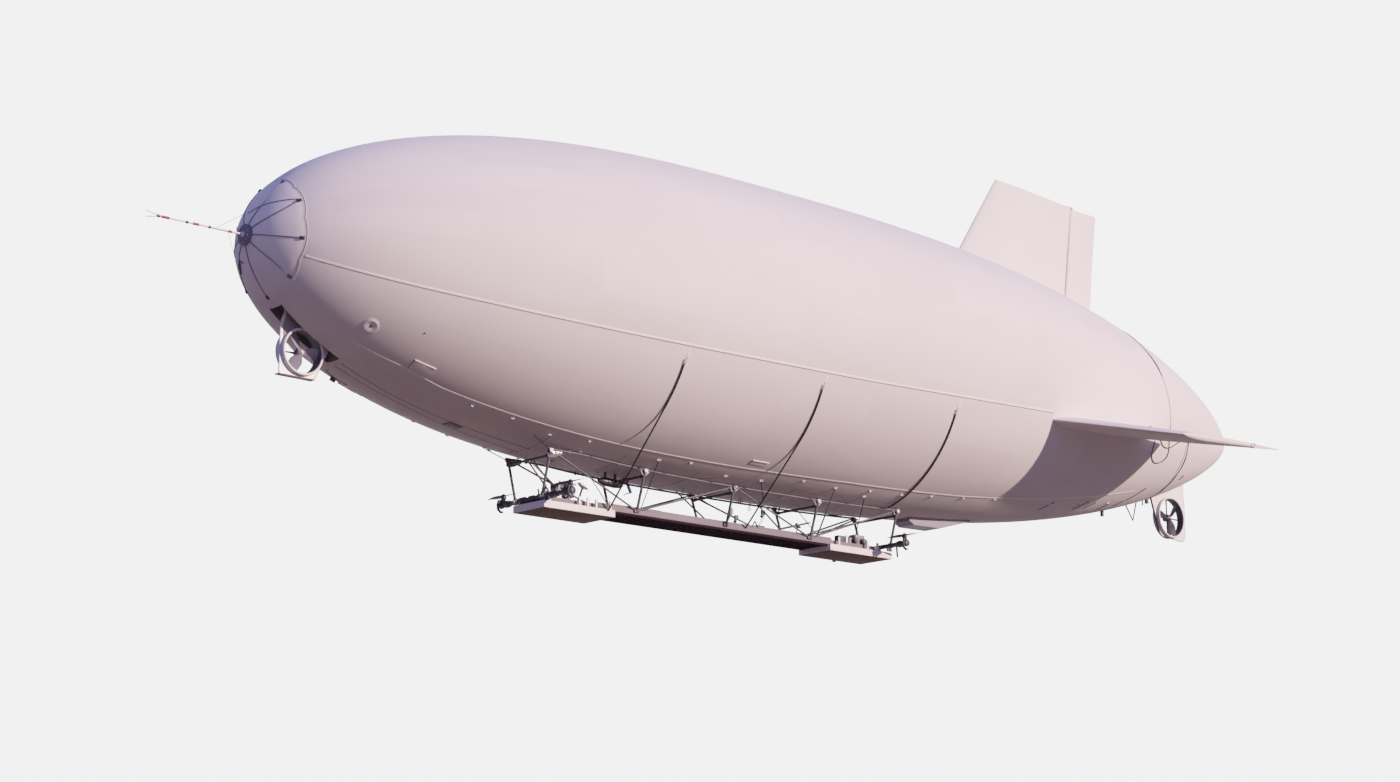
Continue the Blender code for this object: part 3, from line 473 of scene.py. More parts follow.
def hull_tree():
    """A grid wrapped into the hull's closed surface by its own rule."""
    tree = Tree("hull_surface")
    nose, radius = tree.take("Nose"), tree.take("Radius")
    fore, aft = tree.take("Fore length"), tree.take("Aft length")
    fore_power, fore_fullness = tree.take("Fore power"), tree.take("Fore fullness")
    aft_power, aft_fullness = tree.take("Aft power"), tree.take("Aft fullness")
    rows, columns = tree.take("Rows", "NodeSocketInt"), tree.take("Columns", "NodeSocketInt")
    grid = tree.node("GeometryNodeMeshGrid", {"Size X": 1.0, "Size Y": 1.0, "Vertices X": rows,
                                              "Vertices Y": columns})
    where = tree.node("ShaderNodeSeparateXYZ", {0: tree.node("GeometryNodeInputPosition").outputs[0]})
    share = tree.math("ADD", where.outputs[0], 0.5)
    swing = tree.math("COSINE", tree.math("MULTIPLY", share, math.pi))
    half = tree.math("MULTIPLY", tree.math("ADD", fore, aft), 0.5)
    station = tree.math("MULTIPLY", tree.math("SUBTRACT", 1.0, swing), half)
    ahead = tree.math("SUBTRACT", 1.0, tree.math("DIVIDE", station, fore), clamp=True)
    behind = tree.math("DIVIDE", tree.math("SUBTRACT", station, fore), aft, clamp=True)
    radii = []
    for part, power, fullness in ((ahead, fore_power, fore_fullness), (behind, aft_power, aft_fullness)):
        rest = tree.math("SUBTRACT", 1.0, tree.math("POWER", part, power), clamp=True)
        radii.append(tree.math("MULTIPLY", tree.math("POWER", rest, fullness), radius))
    wide = tree.math("MINIMUM", radii[0], radii[1])
    angle = tree.math("MULTIPLY", where.outputs[1], 2 * math.pi)
    spot = tree.node("ShaderNodeCombineXYZ", {
        0: tree.math("SUBTRACT", nose, station),
        1: tree.math("MULTIPLY", wide, tree.math("COSINE", angle)),
        2: tree.math("MULTIPLY", wide, tree.math("SINE", angle))})
    bent = tree.node("GeometryNodeSetPosition", {"Geometry": grid.outputs[0], "Position": spot.outputs[0]})
    merged = tree.node("GeometryNodeMergeByDistance", {"Geometry": bent.outputs[0], "Distance": 0.0002})
    return tree.close(merged.outputs[0])


def heads_tree():
    """A low round head on each point, turned to the point's own direction."""
    tree = Tree("heads_on_points")
    radius, height = tree.take("Radius"), tree.take("Height")
    sides = tree.take("Sides", "NodeSocketInt")
    head = tree.node("GeometryNodeMeshCylinder", {"Vertices": sides, "Radius": radius, "Depth": height})
    out = tree.node("GeometryNodeInputNamedAttribute", {"Name": "out"}, data_type="FLOAT_VECTOR")
    turn = tree.node("FunctionNodeAlignRotationToVector", {"Vector": out.outputs[0]}, axis="Z")
    set_out = tree.node("GeometryNodeInstanceOnPoints", {
        "Points": tree.start.outputs[0], "Instance": head.outputs[0], "Rotation": turn.outputs[0]})
    return tree.close(set_out.outputs[0])


def slats_tree():
    """A row of eased slats along a line."""
    tree = Tree("slats_in_a_row")
    count = tree.take("Count", "NodeSocketInt")
    size = tree.take("Size", "NodeSocketVector")
    first, pitch = tree.take("First", "NodeSocketVector"), tree.take("Pitch", "NodeSocketVector")
    line = tree.node("GeometryNodeMeshLine", {"Count": count, "Start Location": first, "Offset": pitch})
    slat = tree.node("GeometryNodeMeshCube", {"Size": size})
    row = tree.node("GeometryNodeInstanceOnPoints", {"Points": line.outputs[0], "Instance": slat.outputs[0]})
    return tree.close(row.outputs[0])


def tube_tree():
    """A round tube along each chain of edges."""
    tree = Tree("tube_on_path")
    radius, sides = tree.take("Radius"), tree.take("Sides", "NodeSocketInt")
    path = tree.node("GeometryNodeMeshToCurve", {"Mesh": tree.start.outputs[0]})
    ring = tree.node("GeometryNodeCurvePrimitiveCircle", {"Resolution": sides, "Radius": radius})
    skin = tree.node("GeometryNodeCurveToMesh", {
        "Curve": path.outputs[0], "Profile Curve": ring.outputs[0], "Fill Caps": True})
    return tree.close(skin.outputs[0])


TREES = {}


def tree_named(name, maker):
    if name not in TREES:
        TREES[name] = maker()
    return TREES[name]


def heads(name, spots, radius, height, material, body="hull", slot=None, sides=12):
    """Round heads at (spot, direction) pairs, as one plain mesh."""
    mesh = bpy.data.meshes.new(name)
    mesh.from_pydata([tuple(spot) for spot, _ in spots], [], [])
    out = mesh.attributes.new("out", "FLOAT_VECTOR", "POINT")
    for index, (_, direction) in enumerate(spots):
        out.data[index].vector = direction
    made = run_tree(name, mesh, tree_named("heads", heads_tree),
                    {"Radius": radius, "Height": height, "Sides": sides, "Finish": material})
    return dress_tree(made, body, slot)


def lines(name, paths, radius, material, body="hull", slot=None, sides=8, stands_for=()):
    """Round tubes along lists of points, as one plain mesh."""
    mesh = bpy.data.meshes.new(name)
    spots, edges = [], []
    for path in paths:
        first = len(spots)
        spots += [tuple(point) for point in path]
        edges += [(first + index, first + index + 1) for index in range(len(path) - 1)]
    mesh.from_pydata(spots, edges, [])
    made = run_tree(name, mesh, tree_named("tube", tube_tree),
                    {"Radius": radius, "Sides": sides, "Finish": material})
    return dress_tree(made, body, slot, stands_for)


# Finishes

class Finish:
    """Builds a node material on object coordinates."""

    def __init__(self, name, roughness=0.5, metallic=0.0):
        self.material = bpy.data.materials.new(name)
        self.material.use_nodes = True
        self.nodes = self.material.node_tree.nodes
        self.links = self.material.node_tree.links
        self.shader = self.nodes["Principled BSDF"]
        self.shader.inputs["Roughness"].default_value = roughness
        self.shader.inputs["Metallic"].default_value = metallic
        self.place = self.nodes.new("ShaderNodeTexCoord").outputs["Object"]

    def add(self, kind, inputs=None, **settings):
        made = self.nodes.new(kind)
        for key, value in settings.items():
            setattr(made, key, value)
        for key, value in (inputs or {}).items():
            if isinstance(value, bpy.types.NodeSocket):
                self.links.new(value, made.inputs[key])
            else:
                made.inputs[key].default_value = value
        return made

    def math(self, operation, first, second=0.0, clamp=False):
        made = self.add("ShaderNodeMath", {0: first, 1: second}, operation=operation)
        made.use_clamp = clamp
        return made.outputs[0]

    def noise(self, scale, stretch=(1, 1, 1), detail=3.0, rough=0.5):
        moved = self.add("ShaderNodeMapping", {"Vector": self.place, "Scale": stretch})
        return self.add("ShaderNodeTexNoise", {"Vector": moved.outputs[0], "Scale": scale, "Detail": detail,
                                               "Roughness": rough}).outputs[0]

    def spread(self, value, low, high, to_low=0.0, to_high=1.0):
        return self.add("ShaderNodeMapRange", {0: value, 1: low, 2: high, 3: to_low, 4: to_high},
                        clamp=True).outputs[0]

    def mix(self, share, first, second):
        made = self.add("ShaderNodeMix", data_type="RGBA")
        for socket, value in ((made.inputs[0], share), (made.inputs[6], first), (made.inputs[7], second)):
            if isinstance(value, bpy.types.NodeSocket):
                self.links.new(value, socket)
            elif socket == made.inputs[0]:
                socket.default_value = value
            else:
                socket.default_value = (*value, 1.0)
        return made.outputs[2]

    def colour(self, socket):
        self.links.new(socket, self.shader.inputs["Base Color"])

    def rough(self, socket):
        self.links.new(socket, self.shader.inputs["Roughness"])

    def bump(self, height, strength=0.2, distance=0.001, onto=None):
        made = self.add("ShaderNodeBump", {"Height": height, "Strength": strength, "Distance": distance})
        if onto is not None:
            self.links.new(onto, made.inputs["Normal"])
        self.links.new(made.outputs[0], self.shader.inputs["Normal"])
        return made.outputs[0]


def tinted(colour, factor):
    return tuple(min(part * factor, 1.0) for part in colour)


def fabric_finish(name, colour, belly=0.0, gores=28):
    """Coated cloth: fine weave, faint panels and seams, soft streaks, and darker brown blotches towards the
    bottom when belly is set.
    """
    coat = Finish(name, 0.62)
    where = coat.add("ShaderNodeSeparateXYZ", {0: coat.place})
    x, y, z = where.outputs
    round_it = coat.math("MULTIPLY", coat.math("ARCTAN2", z, y), gores / (2 * math.pi))
    along = coat.math("MULTIPLY", x, 1.05)
    cell = coat.add("ShaderNodeCombineXYZ", {0: coat.math("FLOOR", round_it), 1: coat.math("FLOOR", along)})
    tone = coat.add("ShaderNodeTexWhiteNoise", {"Vector": cell.outputs[0]}, noise_dimensions="3D").outputs[0]
    streak = coat.noise(3.0, (0.6, 2.0, 2.0), 4.0)
    cloud = coat.noise(1.1, (0.5, 1.0, 1.0), 2.0)
    shade = coat.math("ADD", coat.math("MULTIPLY", tone, 0.35), coat.math("MULTIPLY", streak, 0.5))
    shade = coat.math("ADD", shade, coat.math("MULTIPLY", cloud, 0.5))
    base = coat.mix(coat.spread(shade, 0.3, 1.0), tinted(colour, 0.950), tinted(colour, 1.035))
    edge_round = coat.math("ABSOLUTE", coat.math("SUBTRACT", coat.math("FRACT", round_it), 0.5))
    seam_round = coat.spread(edge_round, 0.4955, 0.4975)
    edge_along = coat.math("ABSOLUTE", coat.math("SUBTRACT", coat.math("FRACT", along), 0.5))
    seam_along = coat.spread(edge_along, 0.4965, 0.498)
    seam = coat.math("MAXIMUM", seam_round, seam_along)
    base = coat.mix(coat.math("MULTIPLY", seam, 0.10), base, tinted(colour, 0.72))
    if belly:
        # Darker brown blotches towards the bottom
        low = coat.spread(z, -0.75, -1.28)
        blotch = coat.spread(coat.noise(2.2, (0.35, 1.6, 1.0), 5.0, 0.6), 0.35, 0.72)
        belly_darkening = coat.math("MULTIPLY", coat.math("MULTIPLY", low, blotch), belly)
        base = coat.mix(belly_darkening, base, (0.34, 0.27, 0.25))
    coat.colour(base)
    coat.rough(coat.spread(coat.noise(6.0, detail=4.0), 0.2, 0.8, 0.58, 0.72))
    weave = coat.add("ShaderNodeTexWave", {"Vector": coat.place, "Scale": 160.0, "Distortion": 0.6,
                                           "Detail": 1.0}, bands_direction="X").outputs[1]
    weft = coat.add("ShaderNodeTexWave", {"Vector": coat.place, "Scale": 160.0, "Distortion": 0.6,
                                          "Detail": 1.0}, bands_direction="Z").outputs[1]
    fine = coat.bump(coat.math("ADD", weave, weft), 0.06, 0.0004)
    ripple = coat.bump(coat.noise(2.4, (0.8, 1.4, 1.4), 3.0), 0.06, 0.009, fine)
    coat.bump(seam, 0.15, 0.0015, ripple)
    coat.shader.inputs["Sheen Weight"].default_value = 0.05
    coat.shader.inputs["Sheen Roughness"].default_value = 0.4
    coat.shader.inputs["Specular IOR Level"].default_value = 0.25
    return coat.material


def paint_finish(name, colour, roughness=0.38, metallic=0.0, wear=0.25, scale=30.0):
    """Sprayed paint: orange peel, a little dust, and rubbed places."""
    coat = Finish(name, roughness, metallic)
    dust = coat.noise(scale * 0.35, detail=5.0, rough=0.6)
    rub = coat.spread(coat.noise(scale, (1.0, 1.0, 2.2), 6.0, 0.65), 0.56, 0.74)
    base = coat.mix(coat.spread(dust, 0.3, 0.75), tinted(colour, 0.90), tinted(colour, 1.04))
    base = coat.mix(coat.math("MULTIPLY", rub, wear), base, tinted(colour, 0.62))
    coat.colour(base)
    coat.rough(coat.spread(dust, 0.25, 0.75, roughness - 0.07, roughness + 0.12))
    peel = coat.bump(coat.noise(scale * 9.0, detail=2.0), 0.05, 0.0006)
    coat.bump(rub, 0.06, 0.0006, peel)
    return coat.material


def matt_finish(name, colour):
    """Unpainted or stained sheet, dusty and without gloss."""
    coat = Finish(name, 0.9, 0.0)
    coat.shader.inputs["Specular IOR Level"].default_value = 0.06
    dust = coat.noise(9.0, detail=6.0, rough=0.6)
    blotch = coat.spread(coat.noise(2.4, (1.0, 3.0, 3.0), 5.0, 0.6), 0.52, 0.72)
    base = coat.mix(coat.spread(dust, 0.3, 0.75), tinted(colour, 0.85), tinted(colour, 1.10))
    coat.colour(coat.mix(coat.math("MULTIPLY", blotch, 0.4), base, tinted(colour, 0.6)))
    coat.bump(dust, 0.08, 0.001)
    return coat.material


def metal_finish(name, colour, roughness=0.4, metallic=0.7, scale=40.0):
    """Dark anodised or cast metal: brushed streaks, oil tone and bright edges of wear."""
    coat = Finish(name, roughness, metallic)
    streak = coat.noise(scale, (0.4, 3.0, 3.0), 4.0)
    spot = coat.spread(coat.noise(scale * 0.8, detail=6.0, rough=0.7), 0.58, 0.78)
    base = coat.mix(coat.spread(streak, 0.3, 0.7), tinted(colour, 0.75), tinted(colour, 1.3))
    base = coat.mix(coat.math("MULTIPLY", spot, 0.35), base, tinted(colour, 2.4))
    coat.colour(base)
    coat.rough(coat.spread(streak, 0.2, 0.8, roughness - 0.12, roughness + 0.14))
    coat.bump(coat.noise(scale * 12.0, (0.3, 2.0, 2.0), 2.0), 0.08, 0.0005)
    return coat.material


def rope_finish(name, colour, scale=260.0):
    """Laid rope: slanting strands and loose fibres."""
    coat = Finish(name, 0.85)
    lay = coat.add("ShaderNodeTexWave", {"Vector": coat.place, "Scale": scale * 0.12, "Distortion": 0.4},
                   bands_direction="DIAGONAL").outputs[1]
    fibre = coat.noise(scale, (1, 1, 3), 3.0)
    base = coat.mix(lay, tinted(colour, 0.55), tinted(colour, 1.25))
    coat.colour(coat.mix(coat.math("MULTIPLY", fibre, 0.4), base, tinted(colour, 1.7)))
    coat.bump(coat.math("ADD", lay, coat.math("MULTIPLY", fibre, 0.3)), 0.5, 0.001)
    return coat.material


def finishes():
    """Every finish of the airship, made once."""
    if not FINISHES:
        colour = colours()
        FINISHES.update({
            "hull_cloth": fabric_finish("hull_cloth", tuple(colour.fabric), 0.30),
            "fin_cloth": fabric_finish("fin_cloth", tuple(colour.fin_fabric), 0.0, 2),
            # The cap cloth is the fabric a tenth lighter: painted light that lifts the shaded nose; the valve
            # covers share it.
            "cap_cloth_painted_light": fabric_finish("cap_cloth_painted_light", tinted(tuple(colour.fabric), 1.10), 0.0, 9),
            "tape": paint_finish("tape", (0.84, 0.73, 0.74), 0.5, 0.0, 0.15, 12.0),
            "tape_bright": paint_finish("tape_bright", (0.97, 0.88, 0.89), 0.5, 0.0, 0.1, 12.0),
            # Dark tape, also used as painted shade: the strip under each side seam, the lines' shadows on the
            # belly and the fins' hinge gaps.
            "dark_tape_and_painted_shade": paint_finish("dark_tape_and_painted_shade", (0.30, 0.22, 0.23), 0.6, 0.0, 0.2, 12.0),
            "pale_paint": paint_finish("pale_paint", tuple(colour.paint)),
            "panel": paint_finish("panel", tuple(colour.panel), 0.5, 0.0, 0.35, 14.0),
            "underside_painted_shade": matt_finish("underside_painted_shade", (0.30, 0.235, 0.215)),
            "walkway_painted_shade": matt_finish("walkway_painted_shade", (0.030, 0.013, 0.022)),
            "grey_paint": paint_finish("grey_paint", (0.30, 0.26, 0.33), 0.45),
            "disc_paint": paint_finish("disc_paint", (0.16, 0.13, 0.20), 0.45),
            "red": paint_finish("red", (0.42, 0.03, 0.05), 0.5),
            "blue": paint_finish("blue", (0.03, 0.05, 0.16), 0.45),
            "dark_tube": metal_finish("dark_tube", tuple(colour.dark), 0.5, 0.15),
            "black_tube": metal_finish("black_tube", (0.05, 0.045, 0.06), 0.5, 0.3),
            "dark_metal": metal_finish("dark_metal", (0.07, 0.06, 0.08), 0.4, 0.7),
            "steel": metal_finish("steel", (0.46, 0.43, 0.46), 0.32, 0.9),
            "casting_pink": paint_finish("casting_pink", (0.62, 0.50, 0.54), 0.5, 0.1, 0.4, 30.0),
            "engine_casting": metal_finish("engine_casting", (0.34, 0.30, 0.33), 0.45, 0.6, 25.0),
            "duct_inside": paint_finish("duct_inside", (0.050, 0.036, 0.050), 0.5),
            # Dark brown lining of the bow duct's pocket: painted shade.
            "pocket_painted_shade": paint_finish("pocket_painted_shade", (0.17, 0.125, 0.125), 0.7, 0.0, 0.2, 12.0),
            "walkway_side": paint_finish("walkway_side", (0.23, 0.185, 0.225), 0.6, 0.0, 0.3, 14.0),
            "rope": rope_finish("rope", (0.010, 0.008, 0.012)),
            "pod_paint": paint_finish("pod_paint", (0.46, 0.43, 0.50), 0.45),
            # Dark brown sheet on the bow plate: painted shade.
            "painted_plate_shade": paint_finish("painted_plate_shade", (0.34, 0.27, 0.285), 0.7, 0.0, 0.2, 12.0),
        })
    return FINISHES


FINISHES = {}


# Hull

def pocket_outline(grow=0.0):
    """Side view of the recess for the bow duct, its ceiling parallel to the belly."""
    outline = []
    for step in range(13):
        station = RECESS_STATION - grow + (RECESS_LENGTH + 2 * grow) * step / 12
        outline.append((x_at(station), RECESS_DEPTH + grow - hull_radius(station)))
    below = -hull_radius(RECESS_STATION + RECESS_LENGTH) - RECESS_DEPTH
    return outline + [(outline[-1][0], below), (outline[0][0], below)]


def side_view():
    """Turns a plate's outline (x, z) to stand in the centre plane, its thickness along Y."""
    return Matrix.Rotation(math.radians(90), 4, "X")


def cut_with(made, bm):
    """Takes a closed shape out of an object."""
    bmesh.ops.recalc_face_normals(bm, faces=bm.faces)
    room = new_object("room", bm)
    step = made.modifiers.new("room", "BOOLEAN")
    step.operation = "DIFFERENCE"
    step.solver = "EXACT"
    step.object = room
    apply_modifiers(made)
    bpy.data.objects.remove(room, do_unlink=True)
    return made


# How far off a pocket wall's own place the middle of one of its faces may lie
POCKET_EASE = 0.010
POCKET_SKIN = 0.004


def in_pocket(spot):
    """Whether the middle of a face lies on a wall of the pocket."""
    station = sizes().nose_x - spot.x
    inside = math.hypot(spot.y, spot.z) < hull_radius(station) - POCKET_SKIN
    below = spot.z < 0 and abs(spot.y) < RECESS_HALF + 0.001
    return inside and below and -POCKET_EASE < station - RECESS_STATION < RECESS_LENGTH + POCKET_EASE


class AIRSHIP_OT_hull(bpy.types.Operator):
    """Builds the envelope with the pocket over its bow duct"""

    bl_idname = "airship.hull"
    bl_label = "Hull"

    def execute(self, context):
        size, finish = sizes(), finishes()
        made = run_tree("envelope_skin", bpy.data.meshes.new("hull_start"), tree_named("hull", hull_tree), {
            "Nose": size.nose_x, "Radius": size.hull_radius, "Fore length": size.fore_length,
            "Aft length": size.aft_length, "Fore power": FORE_POWER, "Fore fullness": FORE_FULLNESS,
            "Aft power": AFT_POWER, "Aft fullness": AFT_FULLNESS, "Rows": 181, "Columns": 145,
            "Finish": finish["hull_cloth"]})
        bm = bmesh.new()
        bm.from_mesh(made.data)
        bmesh.ops.recalc_face_normals(bm, faces=bm.faces)
        bm.to_mesh(made.data)
        bm.free()
        room = bmesh.new()
        add_plate(room, pocket_outline(), side_view(), -RECESS_HALF, RECESS_HALF)
        cut_with(made, room)
        # The pocket's walls take a dark brown colour: painted shade in the recess.
        made.data.materials.append(finish["pocket_painted_shade"])
        for face in made.data.polygons:
            if in_pocket(face.center):
                face.material_index = len(made.data.materials) - 1
        dress_tree(made, "hull", "envelope_fabric", ("envelope",), 30)
        return {"FINISHED"}


def tape_rows(path, steps):
    """Evenly spread (station, angle) pairs along a path given by a few of them."""
    rows = []
    for (s0, a0), (s1, a1) in zip(path, path[1:]):
        for step in range(steps):
            share = step / steps
            rows.append((s0 + (s1 - s0) * share, a0 + (a1 - a0) * share))
    return rows + [path[-1]]


def add_tape(bm, rows, width, thick, side=1, material=0, shift=0.0):
    """A flat tape on the hull along (station, angle) pairs, closed on all sides."""
    rings = []
    for index, (station, degrees) in enumerate(rows):
        before, after = rows[max(index - 1, 0)], rows[min(index + 1, len(rows) - 1)]
        out = hull_normal(station, degrees)
        way = (hull_point(*after) - hull_point(*before)).normalized()
        across = out.cross(way).normalized()
        spot = hull_point(station, degrees) + across * shift
        half = width / 2
        section = ((-half, -0.004), (-half * 0.96, thick * 0.6), (-half * 0.8, thick), (half * 0.8, thick),
                   (half * 0.96, thick * 0.6), (half, -0.004))
        ring = [spot + across * u + out * v for u, v in section]
        rings.append([mirrored(point) for point in ring] if side < 0 else ring)
    add_rings(bm, rings, material=material)


# Seams and load tapes of the port side: (station, angle) pairs
SIDE_SEAM = ((0.232, -25.6), (1.375, -24.1), (3.200, -22.9), (5.034, -21.7), (7.374, -18.8))
LOAD_TAPE = ((0.696, -67.0), (1.114, -66.3), (1.437, -68.2), (2.256, -67.9), (3.049, -67.7), (4.309, -66.6),
             (5.446, -64.8), (6.808, -63.9), (8.033, -61.3), (9.300, -58.0))
# Openings in the flanks: station, angle, length and width of the flap
FLAPS = ((1.217, -62.2, 0.175, 0.090), (4.384, -62.6, 0.175, 0.050))
# Seams of the keel: path, width
KEEL_SEAMS = ((((0.800, -87.0), (1.300, -88.0), (1.900, -87.0), (2.500, -86.5)), 0.012),
              (((0.800, -93.0), (1.300, -92.0), (1.900, -93.0), (2.500, -93.5)), 0.012))
BELLY_GIRTHS = (2.480, 3.200, 3.960, 5.020, 5.740)
# Painted shadows of lines hung from the flank, cast on the belly: station and angle where each starts
PAINTED_LINE_SHADOWS = ((2.825, -77.1), (3.494, -71.2), (4.225, -73.1), (4.595, -72.1), (5.370, -69.0),
                (5.780, -72.0), (6.160, -72.2))
FLANK_FITTINGS = ((1.731, -70.9), (2.078, -69.7), (2.453, -72.2), (2.783, -69.8), (2.825, -77.1),
                  (3.494, -71.2), (3.783, -69.2), (4.229, -73.1), (4.595, -72.1), (4.979, -68.0),
                  (5.373, -69.0), (5.767, -71.7), (5.748, -67.6), (6.126, -67.1), (6.471, -65.8),
                  (6.848, -64.6), (7.260, -63.6), (8.092, -65.8), (8.547, -66.5), (9.046, -68.3))
# Gas valve, the pin above it, and the vent under the belly: station, angle
VALVE = (0.747, -52.6)
VALVE_PIN = (1.087, -45.1)
BELLY_VENT = (1.828, -90.0)
VENT_SLATS = 9
VENT_PITCH = 0.0125
TAIL_ARCS = (((9.140, 62.0), (9.183, 43.9), (9.297, 19.8), (9.391, -13.7)),
             ((9.820, -16.0), (9.833, -19.8), (9.860, -44.2), (9.990, -81.1), (10.010, -98.0)))


class AIRSHIP_OT_seams(bpy.types.Operator):
    """Lays the seam tapes, load tapes and patches on the hull"""

    bl_idname = "airship.seams"
    bl_label = "Seams"

    def execute(self, context):
        size, finish = sizes(), finishes()
        bm = bmesh.new()
        for side in (1, -1):
            add_tape(bm, tape_rows(SIDE_SEAM, 12), size.tape_width * 0.7, 0.0032, side, 1)
            add_tape(bm, tape_rows(LOAD_TAPE, 8), size.tape_width * 0.9, 0.0022, side)
        finish_piece("seam_tapes", bm, [finish["tape"], finish["tape_bright"]], slot="envelope_fabric")
        bm = bmesh.new()
        for side in (1, -1):
            # A thin dark strip under each side seam: painted shadow of its tape. The tail arcs and keel seams
            # are dark tapes.
            add_tape(bm, tape_rows(SIDE_SEAM, 12), 0.008, 0.0014, side, 0, -size.tape_width * 0.38)
            for arc in TAIL_ARCS:
                add_tape(bm, tape_rows(arc, 10), 0.010, 0.0016, side)
        for near, low in KEEL_SEAMS:
            add_tape(bm, tape_rows(near, 8), low, 0.0016)
        finish_piece("seam_shadows_and_dark_tapes", bm, finish["dark_tape_and_painted_shade"], slot="envelope_fabric")
        bm = bmesh.new()
        for side in (1, -1):
            for station, degrees, long, wide in FLAPS:
                add_flap(bm, hull_frame(station, degrees, 0.0, side), long, wide, side)
        finish_piece("access_flaps", bm, [finish["tape"], finish["dark_tape_and_painted_shade"]], slot="envelope_fabric")
        bm = bmesh.new()
        for station in BELLY_GIRTHS:
            add_tape(bm, tape_rows(((station, -73.0), (station, -107.0)), 12), 0.004, 0.0016)
        for side in (1, -1):
            # Each runs forward and down: painted shadow of a line on the belly.
            for station, degrees in PAINTED_LINE_SHADOWS:
                run = ((station, degrees), (station - 0.10, degrees - 3.5), (station - 0.19, degrees - 5.5))
                add_tape(bm, tape_rows(run, 6), 0.0055, 0.0020, side)
        finish_piece("belly_girths_and_painted_shadows", bm, finish["dark_tape_and_painted_shade"], slot="dark_tube")
        bm = bmesh.new()
        for side in (1, -1):
            for index, (station, degrees) in enumerate(FLANK_FITTINGS):
                add_toggle(bm, hull_frame(station, degrees, 0.0, side), 1 if index % 3 else -1)
        finish_piece("flank_fittings", bm, [finish["pale_paint"], finish["dark_metal"]], slot="white_paint")
        bm = bmesh.new()
        vent = hull_frame(*BELLY_VENT)
        add_block(bm, (-0.062, -0.046, -0.004), (0.062, 0.046, 0.005), vent, 0.002)
        for row in range(VENT_SLATS):
            start = -0.054 + VENT_PITCH * row
            add_block(bm, (start, -0.040, 0.004), (start + 0.007, 0.040, 0.008), vent, 0.001, 1)
        finish_piece("belly_vent", bm, [finish["black_tube"], finish["grey_paint"]], slot="dark_tube")
        lay_valves(finish)
        tail_gear(finish)
        return {"FINISHED"}


def lay_valves(finish):
    """The covers of the gas valves, and the patches round them."""
    for side, name in ((1, "gas_valve_port"), (-1, "gas_valve_starboard")):
        bm = bmesh.new()
        place = hull_frame(*VALVE, 0.0, side)
        add_lathe(bm, [(AXIS, -0.012), (0.0515, -0.012), (0.0518, 0.0020), (0.0500, 0.0055),
                       (0.0150, 0.0060), (0.0120, 0.0040), (AXIS, 0.0035)], place, 48)
        add_lathe(bm, [(AXIS, 0.003), (0.0095, 0.003), (0.0095, 0.006), (0.006, 0.0078), (AXIS, 0.0078)],
                  place, 20, 1)
        finish_piece(name + "_cover", bm, [finish["cap_cloth_painted_light"], finish["dark_metal"]], slot="dark_metal",
                     stands_for=(name,))
    bm = bmesh.new()
    for side in (1, -1):
        add_lathe(bm, [(AXIS, -0.006), (0.062, -0.006), (0.062, 0.0008), (0.060, 0.0012), (AXIS, 0.0012)],
                  hull_frame(*VALVE, 0.0, side), 48)
        add_lathe(bm, [(AXIS, -0.004), (0.006, -0.004), (0.006, 0.003), (AXIS, 0.003)],
                  hull_frame(*VALVE_PIN, 0.0, side), 12, 1)
    finish_piece("valve_patches", bm, [finish["hull_cloth"], finish["dark_metal"]], slot="envelope_fabric")


def add_flap(bm, place, long, wide, side):
    """A cloth flap over an opening, with a rolled upper edge."""
    add_block(bm, (-long / 2, -wide / 2, -0.006), (long / 2, wide / 2, 0.0025), place, 0.0008)
    edge = [place @ Vector((long * share, side * wide / 2, 0.003)) for share in (-0.5, -0.25, 0, 0.25, 0.5)]
    add_tube(bm, edge, 0.0045, 10)
    add_block(bm, (-long / 2 - 0.004, -wide / 2 - 0.004, -0.006), (-long / 2 + 0.002, wide / 2, 0.0032),
              place, 0.0006, 1)


def add_toggle(bm, place, turn):
    """A pale patch with a toggle and a dark ring, sewn on the hull."""
    add_block(bm, (-0.022, -0.013, -0.005), (0.022, 0.013, 0.0015), place, 0.0008)
    pin = [place @ Vector((-0.014 * turn, -0.003, 0.004)), place @ Vector((0.012 * turn, 0.004, 0.008))]
    add_tube(bm, pin, 0.0042, 10)
    add_hoop(bm, [(0.0065, -0.001), (0.0085, -0.001), (0.0085, 0.001), (0.0065, 0.001)],
             place @ Matrix.Translation((0.015 * turn, 0.002, 0.006)), 14, 1)


# Nose

# A line laid from a batten's end over the cap: (station, angle) pairs
NOSE_LINE = ((0.196, 32.0), (0.150, 37.0), (0.108, 44.0), (0.072, 55.0), (0.047, 70.0), (0.036, 84.0),
             (0.034, 98.0))
# Battens: how many, the station of their ends, and how far they bend, in degrees
BATTENS = 9
BATTEN_END = 0.197
BATTEN_BEND = 7.5
# Cap: station of its edge at a batten, how far it swells between two, and its rows and columns
CAP_EDGE = 0.208
CAP_SWELL = 0.013
CAP_ROWS = 12
CAP_COLUMNS = 108


def cap_swell(degrees):
    return CAP_SWELL * abs(math.cos(math.radians(degrees + 90) * BATTENS / 2)) ** 0.7


def cap_angle(step):
    return -90 + 360 * step / CAP_COLUMNS


def batten_path(degrees):
    """A batten from the disc to its end. All but the lowest one bow to the side."""
    near = degrees if degrees <= 90 else 180 - degrees
    way = 0 if degrees == -90 else 1 if degrees <= 90 else -1
    path = []
    for step in range(11):
        bend = -BATTEN_BEND * math.sin(math.radians(near + 12)) * math.sin(math.pi * step / 10)
        path.append(hull_point(0.001 + 0.196 * (step / 10) ** 1.8, degrees + bend * way, 0.0045))
    return path


